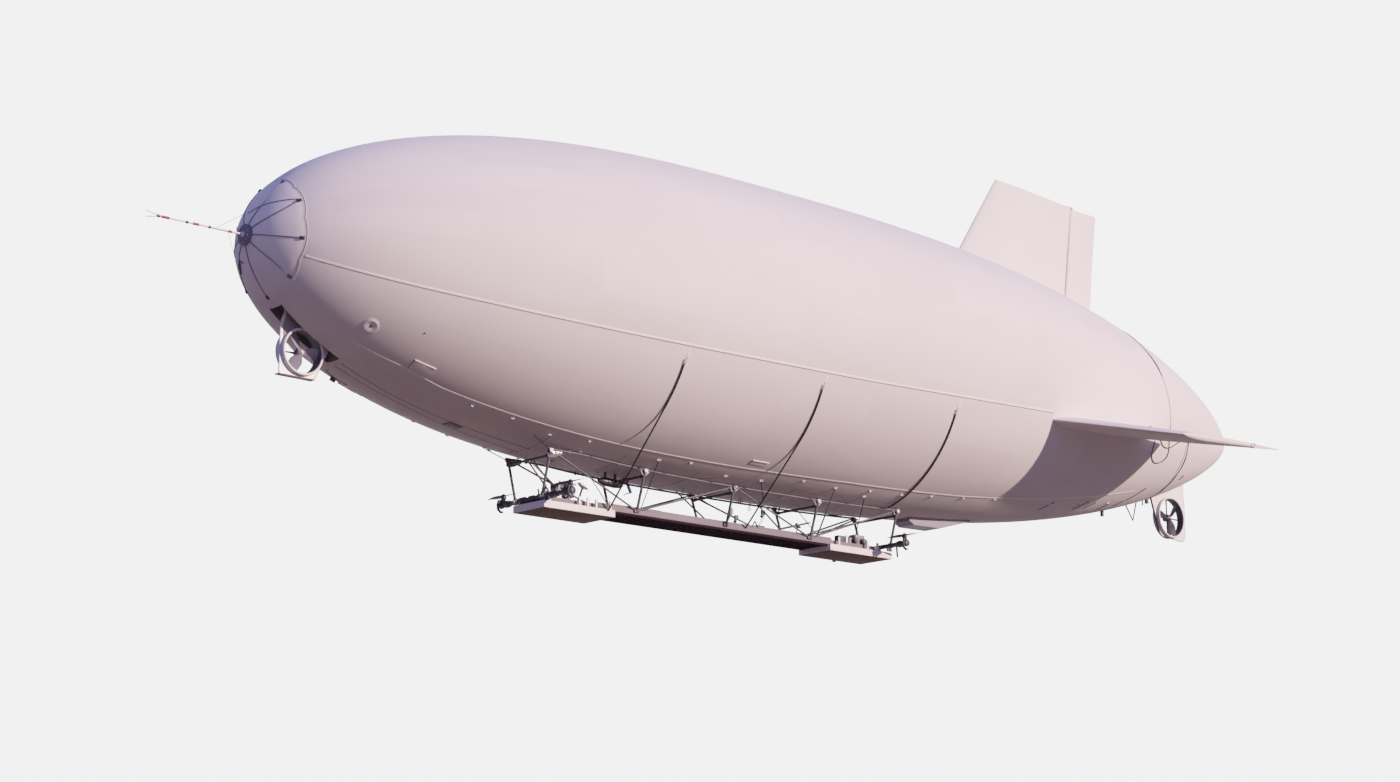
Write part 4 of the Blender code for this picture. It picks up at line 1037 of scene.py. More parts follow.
class AIRSHIP_OT_nose(bpy.types.Operator):
    """Builds the nose cap, disc, battens and air-data boom"""

    bl_idname = "airship.nose"
    bl_label = "Nose"

    def execute(self, context):
        finish = finishes()
        bm = bmesh.new()
        rings = []
        for row in range(CAP_ROWS + 1):
            ring = []
            for step in range(CAP_COLUMNS):
                edge = CAP_EDGE + cap_swell(cap_angle(step))
                station = 0.004 + (edge - 0.004) * (row / CAP_ROWS) ** 1.7
                ring.append(hull_point(station, cap_angle(step), 0.0025 if row < CAP_ROWS else -0.002))
            rings.append(ring)
        add_rings(bm, rings)
        finish_piece("nose_cap", bm, finish["cap_cloth_painted_light"], slot="envelope_fabric", smooth=40)
        bm = bmesh.new()
        for index in range(BATTENS):
            degrees = -90 + 360 / BATTENS * index
            add_tube(bm, batten_path(degrees), [0.0034 + 0.0008 * (1 - step / 10) for step in range(11)], 8)
            end = hull_frame(BATTEN_END, degrees)
            add_tube(bm, [end @ Vector((x, 0, 0.006)) for x in (-0.014, 0.012)], [0.007, 0.010], 14, 1)
            add_block(bm, (-0.018, -0.012, -0.004), (0.018, 0.012, 0.003), end, 0.001, 1)
        nose = sizes().nose_x
        add_lathe(bm, [(AXIS, -0.02), (0.078, -0.02), (0.078, 0.043), (0.074, 0.049), (0.050, 0.052),
                       (AXIS, 0.052)], facing((nose - 0.03, 0, 0), (1, 0, 0)), 40)
        add_tube(bm, [hull_point(station, -130.0, 0.008) for station in (0.045, 0.060, 0.080, 0.100)],
                 [0.004, 0.011, 0.011, 0.004], 12, 1)
        finish_piece("nose_mooring", bm, [finish["disc_paint"], finish["black_tube"]], slot="dark_metal",
                     stands_for=("nose_cone",))
        tag = bmesh.new()
        add_block(tag, (-0.006, -0.030, 0.0), (0.006, 0.022, 0.006), hull_frame(0.044, -122.0), 0.001)
        finish_piece("nose_tag", tag, finish["red"], slot="white_paint")
        path = smooth_run([hull_point(station, degrees, 0.005) for station, degrees in NOSE_LINE])
        lines("nose_lines", [path], 0.0026, finish["disc_paint"], slot="rope_black")
        angles = [cap_angle(step) for step in range(CAP_COLUMNS + 1)]
        trim = bmesh.new()
        hem = [(CAP_EDGE + 0.002 + cap_swell(degrees), degrees) for degrees in angles]
        add_tape(trim, hem, 0.004, 0.0022)
        finish_piece("nose_cap_edge", trim, finish["tape"], slot="envelope_fabric")
        bolts = []
        for index in range(12):
            angle = math.radians(30 * index + 15)
            bolts.append(((nose + 0.0215, 0.062 * math.cos(angle), 0.062 * math.sin(angle)), (1, 0, 0)))
        heads("nose_disc_bolts", bolts, 0.004, 0.005, finish["steel"], slot="dark_metal")
        bm = bmesh.new()
        root, tip = nose + 0.02, nose + 0.702
        add_tube(bm, [(root, 0, 0), (nose + 0.30, 0, 0), (nose + 0.31, 0, 0), (tip, 0, 0)],
                 [0.0085, 0.0075, 0.0062, 0.0056], 16)
        add_lathe(bm, [(AXIS, 0), (0.020, 0), (0.020, 0.006), (0.011, 0.012), (0.010, 0.030), (AXIS, 0.030)],
                  facing((nose + 0.021, 0, 0), (1, 0, 0)), 20)
        for side in (1, -1):
            prong = [(tip + u, 0, side * v) for u, v in ((-0.012, 0), (0.012, 0.008), (0.090, 0.022))]
            add_tube(bm, prong, [0.0045, 0.0042, 0.0034], 10)
        finish_piece("air_data_boom", bm, finish["pale_paint"], slot="white_paint", stands_for=("nose_boom",))
        bm = bmesh.new()
        for spot, half in ((tip - 0.006, 0.010), (nose + 0.293, 0.008), (nose + 0.472, 0.008)):
            add_lathe(bm, [(AXIS, -half), (0.0095, -half), (0.0105, 0), (0.0095, half), (AXIS, half)],
                      facing((spot, 0, 0), (1, 0, 0)), 16)
        finish_piece("air_data_collars", bm, finish["dark_metal"], slot="dark_metal")
        bm = bmesh.new()
        for spot, long in ((nose + 0.643, 0.060), (nose + 0.402, 0.045), (nose + 0.130, 0.030)):
            add_lathe(bm, [(AXIS, -long / 2), (0.0090, -long / 2), (0.0090, long / 2), (AXIS, long / 2)],
                      facing((spot, 0, 0), (1, 0, 0)), 16)
        finish_piece("air_data_bands", bm, finish["red"], slot="white_paint")
        lines("nose_guy", [[(nose + 0.008, 0.0, 0.158), (nose + 0.237, 0, 0.006)],
                           [hull_point(0.190, -170, 0.006), (nose + 0.150, 0, 0.006)]],
              0.0016, finish["steel"], slot="rope_black")
        return {"FINISHED"}


# Fins

def fin_frame(kind):
    """Local axes of a fin: aft, outboard and normal, at its leading edge root."""
    if kind == "top":
        place = Vector((x_at(FIN_ROOT_STATION), 0, hull_radius(FIN_ROOT_STATION)))
        aft, out = Vector((-1, 0, 0)), Vector((0, 0, 1))
    else:
        side = 1 if kind == "port" else -1
        place = hull_point(FIN_ROOT_STATION, FIN_ROOT_ANGLE)
        place.y *= side
        droop = math.radians(FIN_DROOP)
        out = Vector((0, side * math.cos(droop), -math.sin(droop)))
        aft = Matrix.Rotation(side * math.radians(FIN_TOE), 3, out) @ Vector((-1, 0, 0))
    normal = aft.cross(out)
    return Matrix.Translation(place) @ Matrix((aft, out, normal)).transposed().to_4x4()


def edge_at(out):
    """Leading and trailing edge of the whole fin at a distance outboard."""
    span = sizes().fin_span
    trail = FIN_ROOT_CHORD + (FIN_SWEEP + FIN_TIP_CHORD - FIN_ROOT_CHORD) * out / span
    return FIN_SWEEP * out / span, trail


def hinge_at(out):
    return edge_at(out)[1] - HINGE_BEFORE_EDGE


def tip_at(aft):
    return sizes().fin_span - FIN_TIP_DROP * (aft - FIN_SWEEP) / FIN_TIP_CHORD


def thickness_at(out):
    size = sizes()
    return size.fin_thickness + (size.fin_tip_thickness - size.fin_thickness) * out / size.fin_span


def hinge_radius(out):
    return HINGE_SHARE * thickness_at(out)


def fixed_half(share, out):
    """Half thickness of the fixed fin at a share of its chord."""
    nose = math.sqrt(max(1.0 - (1.0 - min(share / FIN_THICKEST, 1.0)) ** 2, 0.0))
    taper = max(share - FIN_THICKEST, 0.0) / (1.0 - FIN_THICKEST)
    return thickness_at(out) / 2 * nose * (1.0 - taper) + hinge_radius(out) * taper


def fin_ribs(out):
    """How far the cloth sinks between ribs, 0 on a rib and 1 midway."""
    return math.sin(math.pi * (out % RIB_PITCH) / RIB_PITCH) ** 0.6


def surface_limit():
    """Outer end of a rudder or elevator, clear of the tip's lug."""
    return tip_at(hinge_at(sizes().fin_span)) - LUG_THICKNESS - SURFACE_GAP


# Where a fin's section has its points, as shares of its chord, and its rows from root to tip
FIN_COLUMNS = (0.0, 0.003, 0.012, 0.03, 0.06, 0.10, 0.16, 0.24, 0.32, 0.42, 0.52, 0.62, 0.72, 0.82, 0.91,
               0.985, 1.0)
FIN_ROWS = 48
FIN_SAG = 0.0022
SURFACE_SAG = 0.0018


def add_fin(bm, place):
    """The fixed fin: cloth drawn over ribs, with a rounded tip."""
    span = sizes().fin_span
    flat = span - TIP_ROUNDING
    rows = [(-FIN_BURIED + FIN_BURIED * k / 3, 1.0) for k in range(3)]
    rows += [(flat * k / FIN_ROWS, 1.0) for k in range(FIN_ROWS + 1)]
    for turned in (30, 55, 75, 90):
        angle = math.radians(turned)
        rows.append((flat + TIP_ROUNDING * math.sin(angle), max(math.cos(angle), 0.06)))
    rings = []
    for out, squeeze in rows:
        lead, back = edge_at(out)[0], hinge_at(out) - hinge_radius(out) - SURFACE_GAP
        sag = FIN_SAG * fin_ribs(out) if 0 < out < flat else 0.0
        upper = []
        for share in FIN_COLUMNS:
            half = fixed_half(share, out) * squeeze
            if min(share, 1 - share) > 0.02:
                half -= sag * min(half / 0.02, 1.0)
            if share == 1.0:
                half *= 0.90
            upper.append((lead + (back - lead) * share, half))
        ring = upper + [(aft, -half) for aft, half in reversed(upper[1:])]
        rings.append([place @ Vector((aft, out * tip_at(aft) / span if out > 0 else out, half))
                      for aft, half in ring])
    add_rings(bm, rings)


def add_surface(bm, place):
    """Rudder or elevator: a nose rounded about its hinge, cloth over ribs, a thin trailing edge."""
    reach = surface_limit() + SURFACE_ROOT
    rings = []
    for index in range(FIN_ROWS + 1):
        out = -SURFACE_ROOT + reach * index / FIN_ROWS
        hinge, nose, trail = hinge_at(out), hinge_radius(out), edge_at(out)[1]
        end = 0.85 if index in (0, FIN_ROWS) else 1.0
        sag = SURFACE_SAG * fin_ribs(max(out, 0.0))
        upper = []
        for turned in range(0, 91, 15):
            angle = math.radians(180 - turned)
            upper.append((hinge + nose * math.cos(angle), nose * math.sin(angle)))
        for step in range(1, 9):
            share = step / 8
            half = nose + (FIN_EDGE_THICKNESS / 2 - nose) * share
            half -= sag * (1 - share)
            upper.append((hinge + (trail - 0.004 - hinge) * share, half))
        upper.append((trail, FIN_EDGE_THICKNESS * 0.22))
        ring = [(aft, half * end) for aft, half in upper]
        ring += [(aft, -half * end) for aft, half in reversed(upper[1:])]
        # The root slopes with the hull, and the slope fades out over the inner third of the span
        lean = SURFACE_ROOT_SLOPE * max(1 - index / 16, 0.0)
        rings.append([place @ Vector((aft, out - lean * (aft - hinge), half)) for aft, half in ring])
    add_rings(bm, rings)


def hinge_line(place):
    """Inner and outer end of a hinge's axis, and its direction."""
    size = sizes()
    tip = tip_at(hinge_at(tip_at(hinge_at(size.fin_span))))
    outer = Vector((hinge_at(tip), tip, 0))
    inner = Vector((hinge_at(-SURFACE_ROOT), -SURFACE_ROOT, 0))
    along = (outer - inner).normalized()
    return place @ inner, place @ outer, (place.to_3x3() @ along).normalized()


LUG_REACH = 0.055


def add_lug(bm, low, along, place):
    """A round lug on the hinge's axis, with the arm that joins it to the fin."""
    add_tube(bm, [low, low + along * LUG_THICKNESS], LUG_RADIUS, 24)
    up = place.to_3x3() @ Vector((0, 0, 1))
    back = -(along.cross(up)).normalized()
    arm = Matrix.Translation(low) @ Matrix((back, along, up)).transposed().to_4x4()
    ends = sorted((0.0, LUG_REACH if back.x > 0 else -LUG_REACH))
    add_block(bm, (ends[0], 0, -0.012), (ends[1], LUG_THICKNESS, 0.012), arm, 0.001)


def lay_hinge_gap_shades(name, place, finish):
    """Dark strips along a hinge, one on each face of the fixed fin: painted shade of the gap before the
    moving surface.
    """
    gap_shades = []
    for face in (1, -1):
        gap_shade = []
        for step in range(13):
            out = 0.012 + (surface_limit() - 0.018) * step / 12
            nose = hinge_radius(out)
            aft = hinge_at(out) - nose - SURFACE_GAP * 0.55
            gap_shade.append(place @ Vector((aft, out, face * (nose - 0.0050))))
        gap_shades.append(gap_shade)
    lines(name, gap_shades, 0.0038, finish["dark_tape_and_painted_shade"], slot="fin_fabric")


class AIRSHIP_OT_fins(bpy.types.Operator):
    """Builds the three fins with their rudder and elevators"""

    bl_idname = "airship.fins"
    bl_label = "Fins"

    def execute(self, context):
        finish = finishes()
        for kind, moving in (("top", "rudder"), ("port", "port_elevator"),
                             ("starboard", "starboard_elevator")):
            fixed = kind + "_fin"
            place = fin_frame(kind)
            inner, outer, along = hinge_line(place)
            root = inner - along * (ROOT_LUG_GAP + LUG_THICKNESS)
            bm = bmesh.new()
            add_fin(bm, place)
            for low in (outer - along * LUG_THICKNESS, root):
                add_lug(bm, low, along, place)
            finish_piece(fixed + "_cloth", bm, finish["fin_cloth"], slot="fin_fabric", stands_for=(fixed,))
            lay_hinge_gap_shades(fixed + "_seals", place, finish)
            bm = bmesh.new()
            add_surface(bm, place)
            add_tube(bm, [root, outer], HINGE_TUBE, 20)
            finish_piece(moving + "_cloth", bm, finish["fin_cloth"], body=moving, slot="fin_fabric",
                         stands_for=(moving,))
        return {"FINISHED"}


# Side thrusters

def duct_middle(duct):
    return Vector((x_at(duct[0]), 0, -hull_radius(duct[0]) - duct[1]))


def add_blade(bm, place, stations, section, material=0):
    """A twisted blade along a frame's Z: (height, chord, thickness, pitch in degrees) rows."""
    rings = []
    for height, chord, thick, pitch in stations:
        turn = Matrix.Rotation(math.radians(pitch), 4, "Z")
        rings.append([place @ (turn @ Vector((u * chord, v * thick, height))) for u, v in section])
    add_rings(bm, rings, material=material)


# Half-open outline of a blade section: along the chord, across it
BLADE_SECTION = ((-0.50, 0.0), (-0.46, 0.22), (-0.30, 0.45), (-0.05, 0.5), (0.25, 0.34), (0.50, 0.06),
                 (0.50, -0.04), (0.25, -0.16), (-0.05, -0.24), (-0.30, -0.25), (-0.46, -0.14))


# What the duct stands further out to port than its half length, how much shorter the stern one is
# behind, and how far its skin is let in between its lips
MOUTH_REACH = 0.012
STERN_DUCT_SHORTER = 0.024
SKIN_STEP = 0.005
# Bow thruster, forward and up from its axis: the top of the dark sheet painted as shade on the plate's upper
# part, and a strap
PLATE_SHADE_TOP = ((-0.226, 0.110), (-0.213, 0.284), (0.106, 0.322), (0.135, 0.252), (0.160, 0.178))
STRAP = ((0.160, 0.262), (0.161, 0.300), (0.150, 0.324), (0.130, 0.332), (0.112, 0.318))
# A handle of tape under the belly: (station, angle) pairs, and the stub beside it
HANDLE = ((0.850, -105.5), (0.920, -108.6), (1.000, -109.2), (1.070, -107.0))
HANDLE_STUB = (0.985, -111.2)


def add_duct(bm, across, radius, depth):
    """A duct ring with a rounded lip to port and a bead at its back."""
    bore, lip, mouth = radius - DUCT_WALL, DUCT_WALL / 2, DUCT_HALF + MOUTH_REACH
    profile = []
    for turned in range(-90, 91, 15):
        angle = math.radians(turned)
        profile.append((radius - lip + lip * math.sin(angle), mouth - lip + lip * math.cos(angle)))
    inside = [0] * len(profile) + [0, 0, 0, 0, 0, 1, 1, 0]
    profile += [(radius, 0.010), (radius - SKIN_STEP, 0.006), (radius - SKIN_STEP, -depth + 0.006),
                (radius, -depth + 0.004), (radius, -depth), (bore, -depth), (bore, 0.020),
                 (bore, mouth - lip)]
    add_hoop(bm, profile, across, 96, inside)


def bow_fittings(name, middle, radius, side, finish):
    """A dark sheet painted as shade on the plate's upper part, the strap over the bow duct, and the handle
    beside it.
    """
    bm = bmesh.new()
    arc = [(radius * math.cos(math.radians(turned)), radius * math.sin(math.radians(turned)))
           for turned in range(24, 157, 6)]
    # A thin dark sheet on the plate's port face above the duct: painted shade.
    add_plate(bm, arc + list(PLATE_SHADE_TOP), side, -PLATE_TO_PORT - 0.0080, -PLATE_TO_PORT - 0.0058)
    finish_piece(name + "_gaiter", bm, finish["painted_plate_shade"], slot="white_paint")
    bm = bmesh.new()
    add_tube(bm, [middle + Vector((u, 0.046, v)) for u, v in STRAP], [0.005, 0.006, 0.007, 0.007, 0.005], 12)
    finish_piece(name + "_strap", bm, finish["pale_paint"], slot="white_paint")
    bm = bmesh.new()
    add_tape(bm, tape_rows(HANDLE, 8), 0.017, 0.004)
    add_block(bm, (-0.020, -0.012, -0.004), (0.020, 0.012, 0.028), hull_frame(*HANDLE_STUB), 0.003)
    finish_piece("belly_handle", bm, finish["black_tube"], slot="dark_tube")


def build_thruster(name, duct, plate, corner, turned_first, flanges):
    """A duct in its plate, with flanges, stator and rotor; the bow one has a few fittings more."""
    finish = finishes()
    bow = name.startswith("bow")
    depth = DUCT_HALF if bow else DUCT_HALF - STERN_DUCT_SHORTER
    middle, radius = duct_middle(duct), duct[2]
    bore = radius - DUCT_WALL
    across = facing(middle, (0, 1, 0))
    bm = bmesh.new()
    add_duct(bm, across, radius, depth)
    finish_piece(name + "_duct", bm, [finish["pale_paint"], finish["duct_inside"]], slot="white_paint")
    bm = bmesh.new()
    side = Matrix.Translation(middle) @ side_view()
    add_plate(bm, rounded(plate, corner), side, -PLATE_TO_PORT - PLATE_THICKNESS / 2,
              -PLATE_TO_PORT + PLATE_THICKNESS / 2)
    bmesh.ops.recalc_face_normals(bm, faces=bm.faces)
    sheet = new_object(name + "_plate", bm)
    hole = bmesh.new()
    add_lathe(hole, [(radius - 0.006, -0.2), (radius - 0.006, 0.2)], across, 96)
    cut_with(sheet, hole)
    dress(sheet, finish["pale_paint"], slot="white_paint", stands_for=(name + "_frame",))
    bm = bmesh.new()
    edge = rounded(plate, corner)
    rim = [middle + Vector((u, PLATE_TO_PORT, v)) for u, v in edge + edge[:1]]
    # The stern's rim is black: painted shade along the plate's edges; the bow's is pale.
    add_tube(bm, rim, 0.0050 if bow else 0.0036, 8, 0 if bow else 1)
    # The flanges are black: painted shade of their faces turned from the light.
    for near, far in flanges:
        near, far = Vector(near), Vector(far)
        long = (far - near).length
        way = (far - near).normalized()
        place = Matrix.Translation(middle + Vector((near.x, 0, near.y)))
        place = place @ Matrix(((way.x, 0, -way.y), (0, 1, 0), (way.y, 0, way.x))).to_4x4()
        add_block(bm, (-0.004, PLATE_TO_PORT - (0.048 if bow else 0.012), -0.003),
                  (long + 0.004, PLATE_TO_PORT + 0.006, 0.003), place, 0.0012, 1)
    finish_piece(name + "_edge", bm, [finish["pale_paint"], finish["black_tube"]], slot="white_paint")
    if bow:
        bow_fittings(name, middle, radius, side, finish)
    bm = bmesh.new()
    back = middle + Vector((0, 0.014 - depth, 0))
    for turned in range(4):
        angle = math.radians(90 * turned)
        rim_spot = Vector((math.cos(angle), 0, math.sin(angle))) * (radius - DUCT_WALL / 2)
        add_tube(bm, [back, back + rim_spot * 0.5, back + rim_spot], [0.0075, 0.006, 0.0075], 12)
    add_lathe(bm, [(AXIS, -DUCT_HALF), (0.022, -DUCT_HALF), (0.029, -DUCT_HALF + 0.008), (0.030, -0.012),
                   (0.026, -0.008), (0.026, -0.001), (AXIS, -0.001)], across, 32)
    finish_piece(name + "_stator", bm, finish["dark_tube"], slot="dark_tube")
    bm = bmesh.new()
    add_lathe(bm, [(AXIS, 0.001), (0.029, 0.001), (0.031, 0.005), (0.031, 0.016), (0.026, 0.024),
                   (0.015, 0.029), (AXIS, 0.030)], across, 32)
    cap = 0.015 if bow else 0.010
    add_lathe(bm, [(AXIS, 0.029), (cap, 0.029), (cap * 0.93, 0.034), (cap * 0.6, 0.038), (AXIS, 0.040)],
              across, 32, 1)
    stations = []
    for step in range(13):
        share = step / 12
        height = 0.020 + (math.sqrt((bore - 0.008) ** 2 - 0.042 ** 2) - 0.020) * share
        chord = 0.042 + 0.050 * min(share / 0.45, 1.0) - 0.016 * share ** 8
        stations.append((height, chord, 0.010 - 0.005 * share, 34 - 12 * share))
    for turned in range(3):
        place = Matrix.Translation(middle + Vector((0, FAN_TO_PORT, 0)))
        place = place @ Matrix.Rotation(math.radians(120 * turned + turned_first), 4, "Y")
        add_blade(bm, place, stations, BLADE_SECTION)
    body = name.split("_")[0] + "_fan"
    blades = finish["grey_paint"] if bow else finish["dark_metal"]
    finish_piece(name + "_rotor", bm, [blades, finish["pale_paint"]], body=body, slot="dark_metal",
                 stands_for=(name + "_fan",), smooth=50)


class AIRSHIP_OT_thrusters(bpy.types.Operator):
    """Builds the side thrusters at bow and stern"""

    bl_idname = "airship.thrusters"
    bl_label = "Side thrusters"

    def execute(self, context):
        build_thruster("bow_thruster", BOW_DUCT, BOW_PLATE, 0.018, 30,
                       (((0.180, -0.178), (-0.112, -0.182)), ((-0.112, -0.182), (-0.250, 0.085))))
        build_thruster("stern_thruster", STERN_DUCT, STERN_PLATE, 0.040, 75,
                       (((0.276, 0.180), (0.162, -0.150)), ((-0.234, -0.160), (-0.238, 0.200))))
        return {"FINISHED"}


# Gondola

def frame_station(index):
    return FRAME_STATION + FRAME_PITCH * index


def rail_height(station):
    radius = hull_radius(station)
    return min(RAIL_TOP, -math.sqrt(radius ** 2 - RAIL_HALF ** 2) - RAIL_RADIUS - 0.0003)


def truss_nodes(index, side):
    station = frame_station(index)
    top = Vector((x_at(station), side * RAIL_HALF, rail_height(station)))
    low = Vector((x_at(station), side * (DECK_HALF + 0.0073), DECK_TOP - 0.012))
    return top, low


# Lines from the flank to the gondola: station and angle of the top, foot
HANGERS = ((3.494, -71.2, (1.600, 0.160, -1.548)), (4.595, -72.1, (0.381, 0.256, -1.359)),
           (5.780, -72.0, (-0.760, 0.156, -1.552)))
LONG_STRUT = (5.370, -69.0, (-0.327, 0.157, -1.545))
# Pins on the top rails: x, height above the rail
RAIL_PINS = ((2.404, 0.085), (1.913, 0.012), (-0.300, 0.012))
CORNER_PLATE = ((0.020, 0.006), (-0.125, 0.010), (-0.125, -0.022), (-0.040, -0.058), (0.020, -0.062))


def hanger(station, degrees, foot, side):
    """Both ends of a straight line from the flank to the gondola."""
    top = hull_point(station, degrees, 0.004)
    return [Vector((top.x, side * top.y, top.z)), Vector((foot[0], side * foot[1], foot[2]))]


class AIRSHIP_OT_trusses(bpy.types.Operator):
    """Builds the two open side trusses and the cross bars"""

    bl_idname = "airship.trusses"
    bl_label = "Trusses"

    def execute(self, context):
        finish = finishes()
        last = FRAME_COUNT - 1
        span = frame_station(last) - FRAME_STATION
        for name, side in (("truss_port", 1), ("truss_starboard", -1)):
            bm = bmesh.new()
            rail = []
            for step in range(33):
                station = FRAME_STATION + span * step / 32
                rail.append((x_at(station), side * RAIL_HALF, rail_height(station)))
            add_tube(bm, rail, 0.0080, 16)
            for index in range(FRAME_COUNT):
                top, low = truss_nodes(index, side)
                add_tube(bm, [top, low], POST_RADIUS, 16)
                way = (low - top).normalized()
                add_tube(bm, [top + way * 0.004, top + way * 0.040], POST_RADIUS * 1.35, 16)
                add_tube(bm, [low - way * 0.030, low + way * 0.004], POST_RADIUS * 1.30, 16)
                add_tube(bm, [top - Vector((0.020, 0, 0)), top + Vector((0.020, 0, 0))], 0.0105, 16)
                gusset = rounded([(-0.022, 0.005), (0.022, 0.005), (0.011, -0.024), (-0.011, -0.024)], 0.006)
                place = Matrix.Translation(top) @ side_view()
                add_plate(bm, gusset, place, -0.0135 * side - 0.0015, -0.0135 * side + 0.0015, 1)
                for u, v in ((-0.013, -0.003), (0.013, -0.003), (0.0, -0.017)):
                    add_bolt(bm, top + Vector((u, side * 0.0150, v)), (0, side, 0), 0.0030, 0.003)
                for u in (-0.055, 0.055):
                    if 0 < index < last or (u < 0) == (index == 0):
                        knee = top + way * 0.055
                        add_tube(bm, [knee, top + Vector((u, 0, 0.002))], 0.0042, 10, 1)
                add_pad(bm, low.x, low.y, 0.026, 0.007, low.z - 0.012, low.z + 0.012, 0.002)
                for u in (-0.016, 0.016):
                    add_bolt(bm, low + Vector((u, side * 0.007, 0)), (0, side, 0), 0.0036, 0.004)
            for index in range(last):
                top, low = truss_nodes(index, side)
                next_top, next_low = truss_nodes(index + 1, side)
                ends = (top, next_low) if index % 2 == 0 else (low, next_top)
                way = (ends[1] - ends[0]).normalized()
                long = (ends[1] - ends[0]).length
                add_tube(bm, [ends[0] + way * k * long for k in (0.02, 0.06, 0.07, 0.93, 0.94, 0.98)],
                         [0.0045, 0.0045, BRACE_RADIUS, BRACE_RADIUS, 0.0045, 0.0045], 12)
            finish_piece(name + "_tubes", bm, [finish["dark_tube"], finish["pale_paint"]], slot="dark_tube",
                         stands_for=(name,))
        bm = bmesh.new()
        names = []
        for index in range(FRAME_COUNT):
            height = rail_height(frame_station(index)) - 0.045
            ends = []
            for side in (1, -1):
                top, low = truss_nodes(index, side)
                ends.append(top.lerp(low, (top.z - height) / (top.z - low.z)))
            way = (ends[1] - ends[0]).normalized()
            add_tube(bm, [ends[0] + way * 0.010, ends[1] - way * 0.010], POST_RADIUS, 16)
            for end, turn in ((ends[0], 1), (ends[1], -1)):
                add_tube(bm, [end + way * turn * 0.011, end + way * turn * 0.040], POST_RADIUS * 1.3, 16)
            names.append(f"cross_bar_{index + 1}")
        finish_piece("cross_bars", bm, finish["black_tube"], slot="dark_tube", stands_for=names)
        bm = bmesh.new()
        for low_frame, top_frame in ((1, 2), (3, 4)):
            for side in (1, -1):
                low = truss_nodes(low_frame, side)[1] + Vector((-0.020, -side * 0.012, 0.004))
                top = truss_nodes(top_frame, -side)[0] + Vector((0.014, side * 0.016, -0.020))
                low.z += 0.010 * (side < 0)
                ends = [low, low.lerp(top, 0.04), low.lerp(top, 0.96), top]
                add_tube(bm, ends, [0.004, 0.0062, 0.0062, 0.004], 12)
        middle = truss_nodes(0, 1)[0].lerp(truss_nodes(0, -1)[0], 0.5) + Vector((0, 0, -0.050))
        for side in (1, -1):
            add_tube(bm, [middle + Vector((0, side * 0.012, 0)), (2.300, side * 0.062, -1.500)], 0.0062, 12)
        for side in (1, -1):
            for x, length in RAIL_PINS:
                top = Vector((x, side * RAIL_HALF, rail_height(sizes().nose_x - x)))
                foot = top + Vector((0, 0, -0.014))
                add_tube(bm, [top + Vector((0, -side * 0.004, length)), foot], 0.0075, 12)
        finish_piece("cross_braces", bm, finish["dark_tube"], slot="dark_tube")
        bm = bmesh.new()
        for side in (1, -1):
            corner = Vector((x_at(FRAME_STATION), side * (RAIL_HALF - 0.004), rail_height(FRAME_STATION)))
            add_plate(bm, rounded(CORNER_PLATE, 0.010), Matrix.Translation(corner) @ side_view(),
                      0.004 * side - 0.003, 0.004 * side + 0.003)
            for u, v in ((-0.030, -0.022), (-0.065, -0.016), (-0.095, -0.008)):
                ring = facing(corner + Vector((u, -side * 0.001, v)), (0, side, 0))
                add_hoop(bm, [(0.007, -0.008), (0.0115, -0.008), (0.0115, 0.008), (0.007, 0.008)],
                         ring, 18, 1)
        finish_piece("corner_gussets", bm, [finish["black_tube"], finish["steel"]], slot="dark_tube")
        ropes = [hanger(*line, side) for line in HANGERS for side in (1, -1)]
        for side in (-1, 1):
            top = hull_point(2.347, -90.0 + 15.0 * side, 0.006)
            ropes.append([top, Vector((2.575, 0.262 * side, -1.235))])
        lines("hangers", ropes, 0.0034, finish["rope"], slot="rope_black")
        bm = bmesh.new()
        for side in (1, -1):
            add_tube(bm, hanger(*LONG_STRUT, side), 0.0062, 12)
        finish_piece("long_struts", bm, finish["dark_tube"], slot="dark_tube")
        return {"FINISHED"}


# Rivets along the platforms' sides and ribs under the walkway stand about this far apart
RIVET_PITCH = 0.075
RIB_SPACING = 0.045
# Posts along the deck's sides: x
STANCHIONS = (2.520, 2.230, 2.150, 2.065, 1.925, -0.560, -0.900, -1.020)
# Boxes on the deck: x, length, height
DECK_BOXES = ((1.430, 0.12, 0.024), (0.760, 0.07, 0.020), (0.300, 0.09, 0.030), (-0.660, 0.13, 0.052))


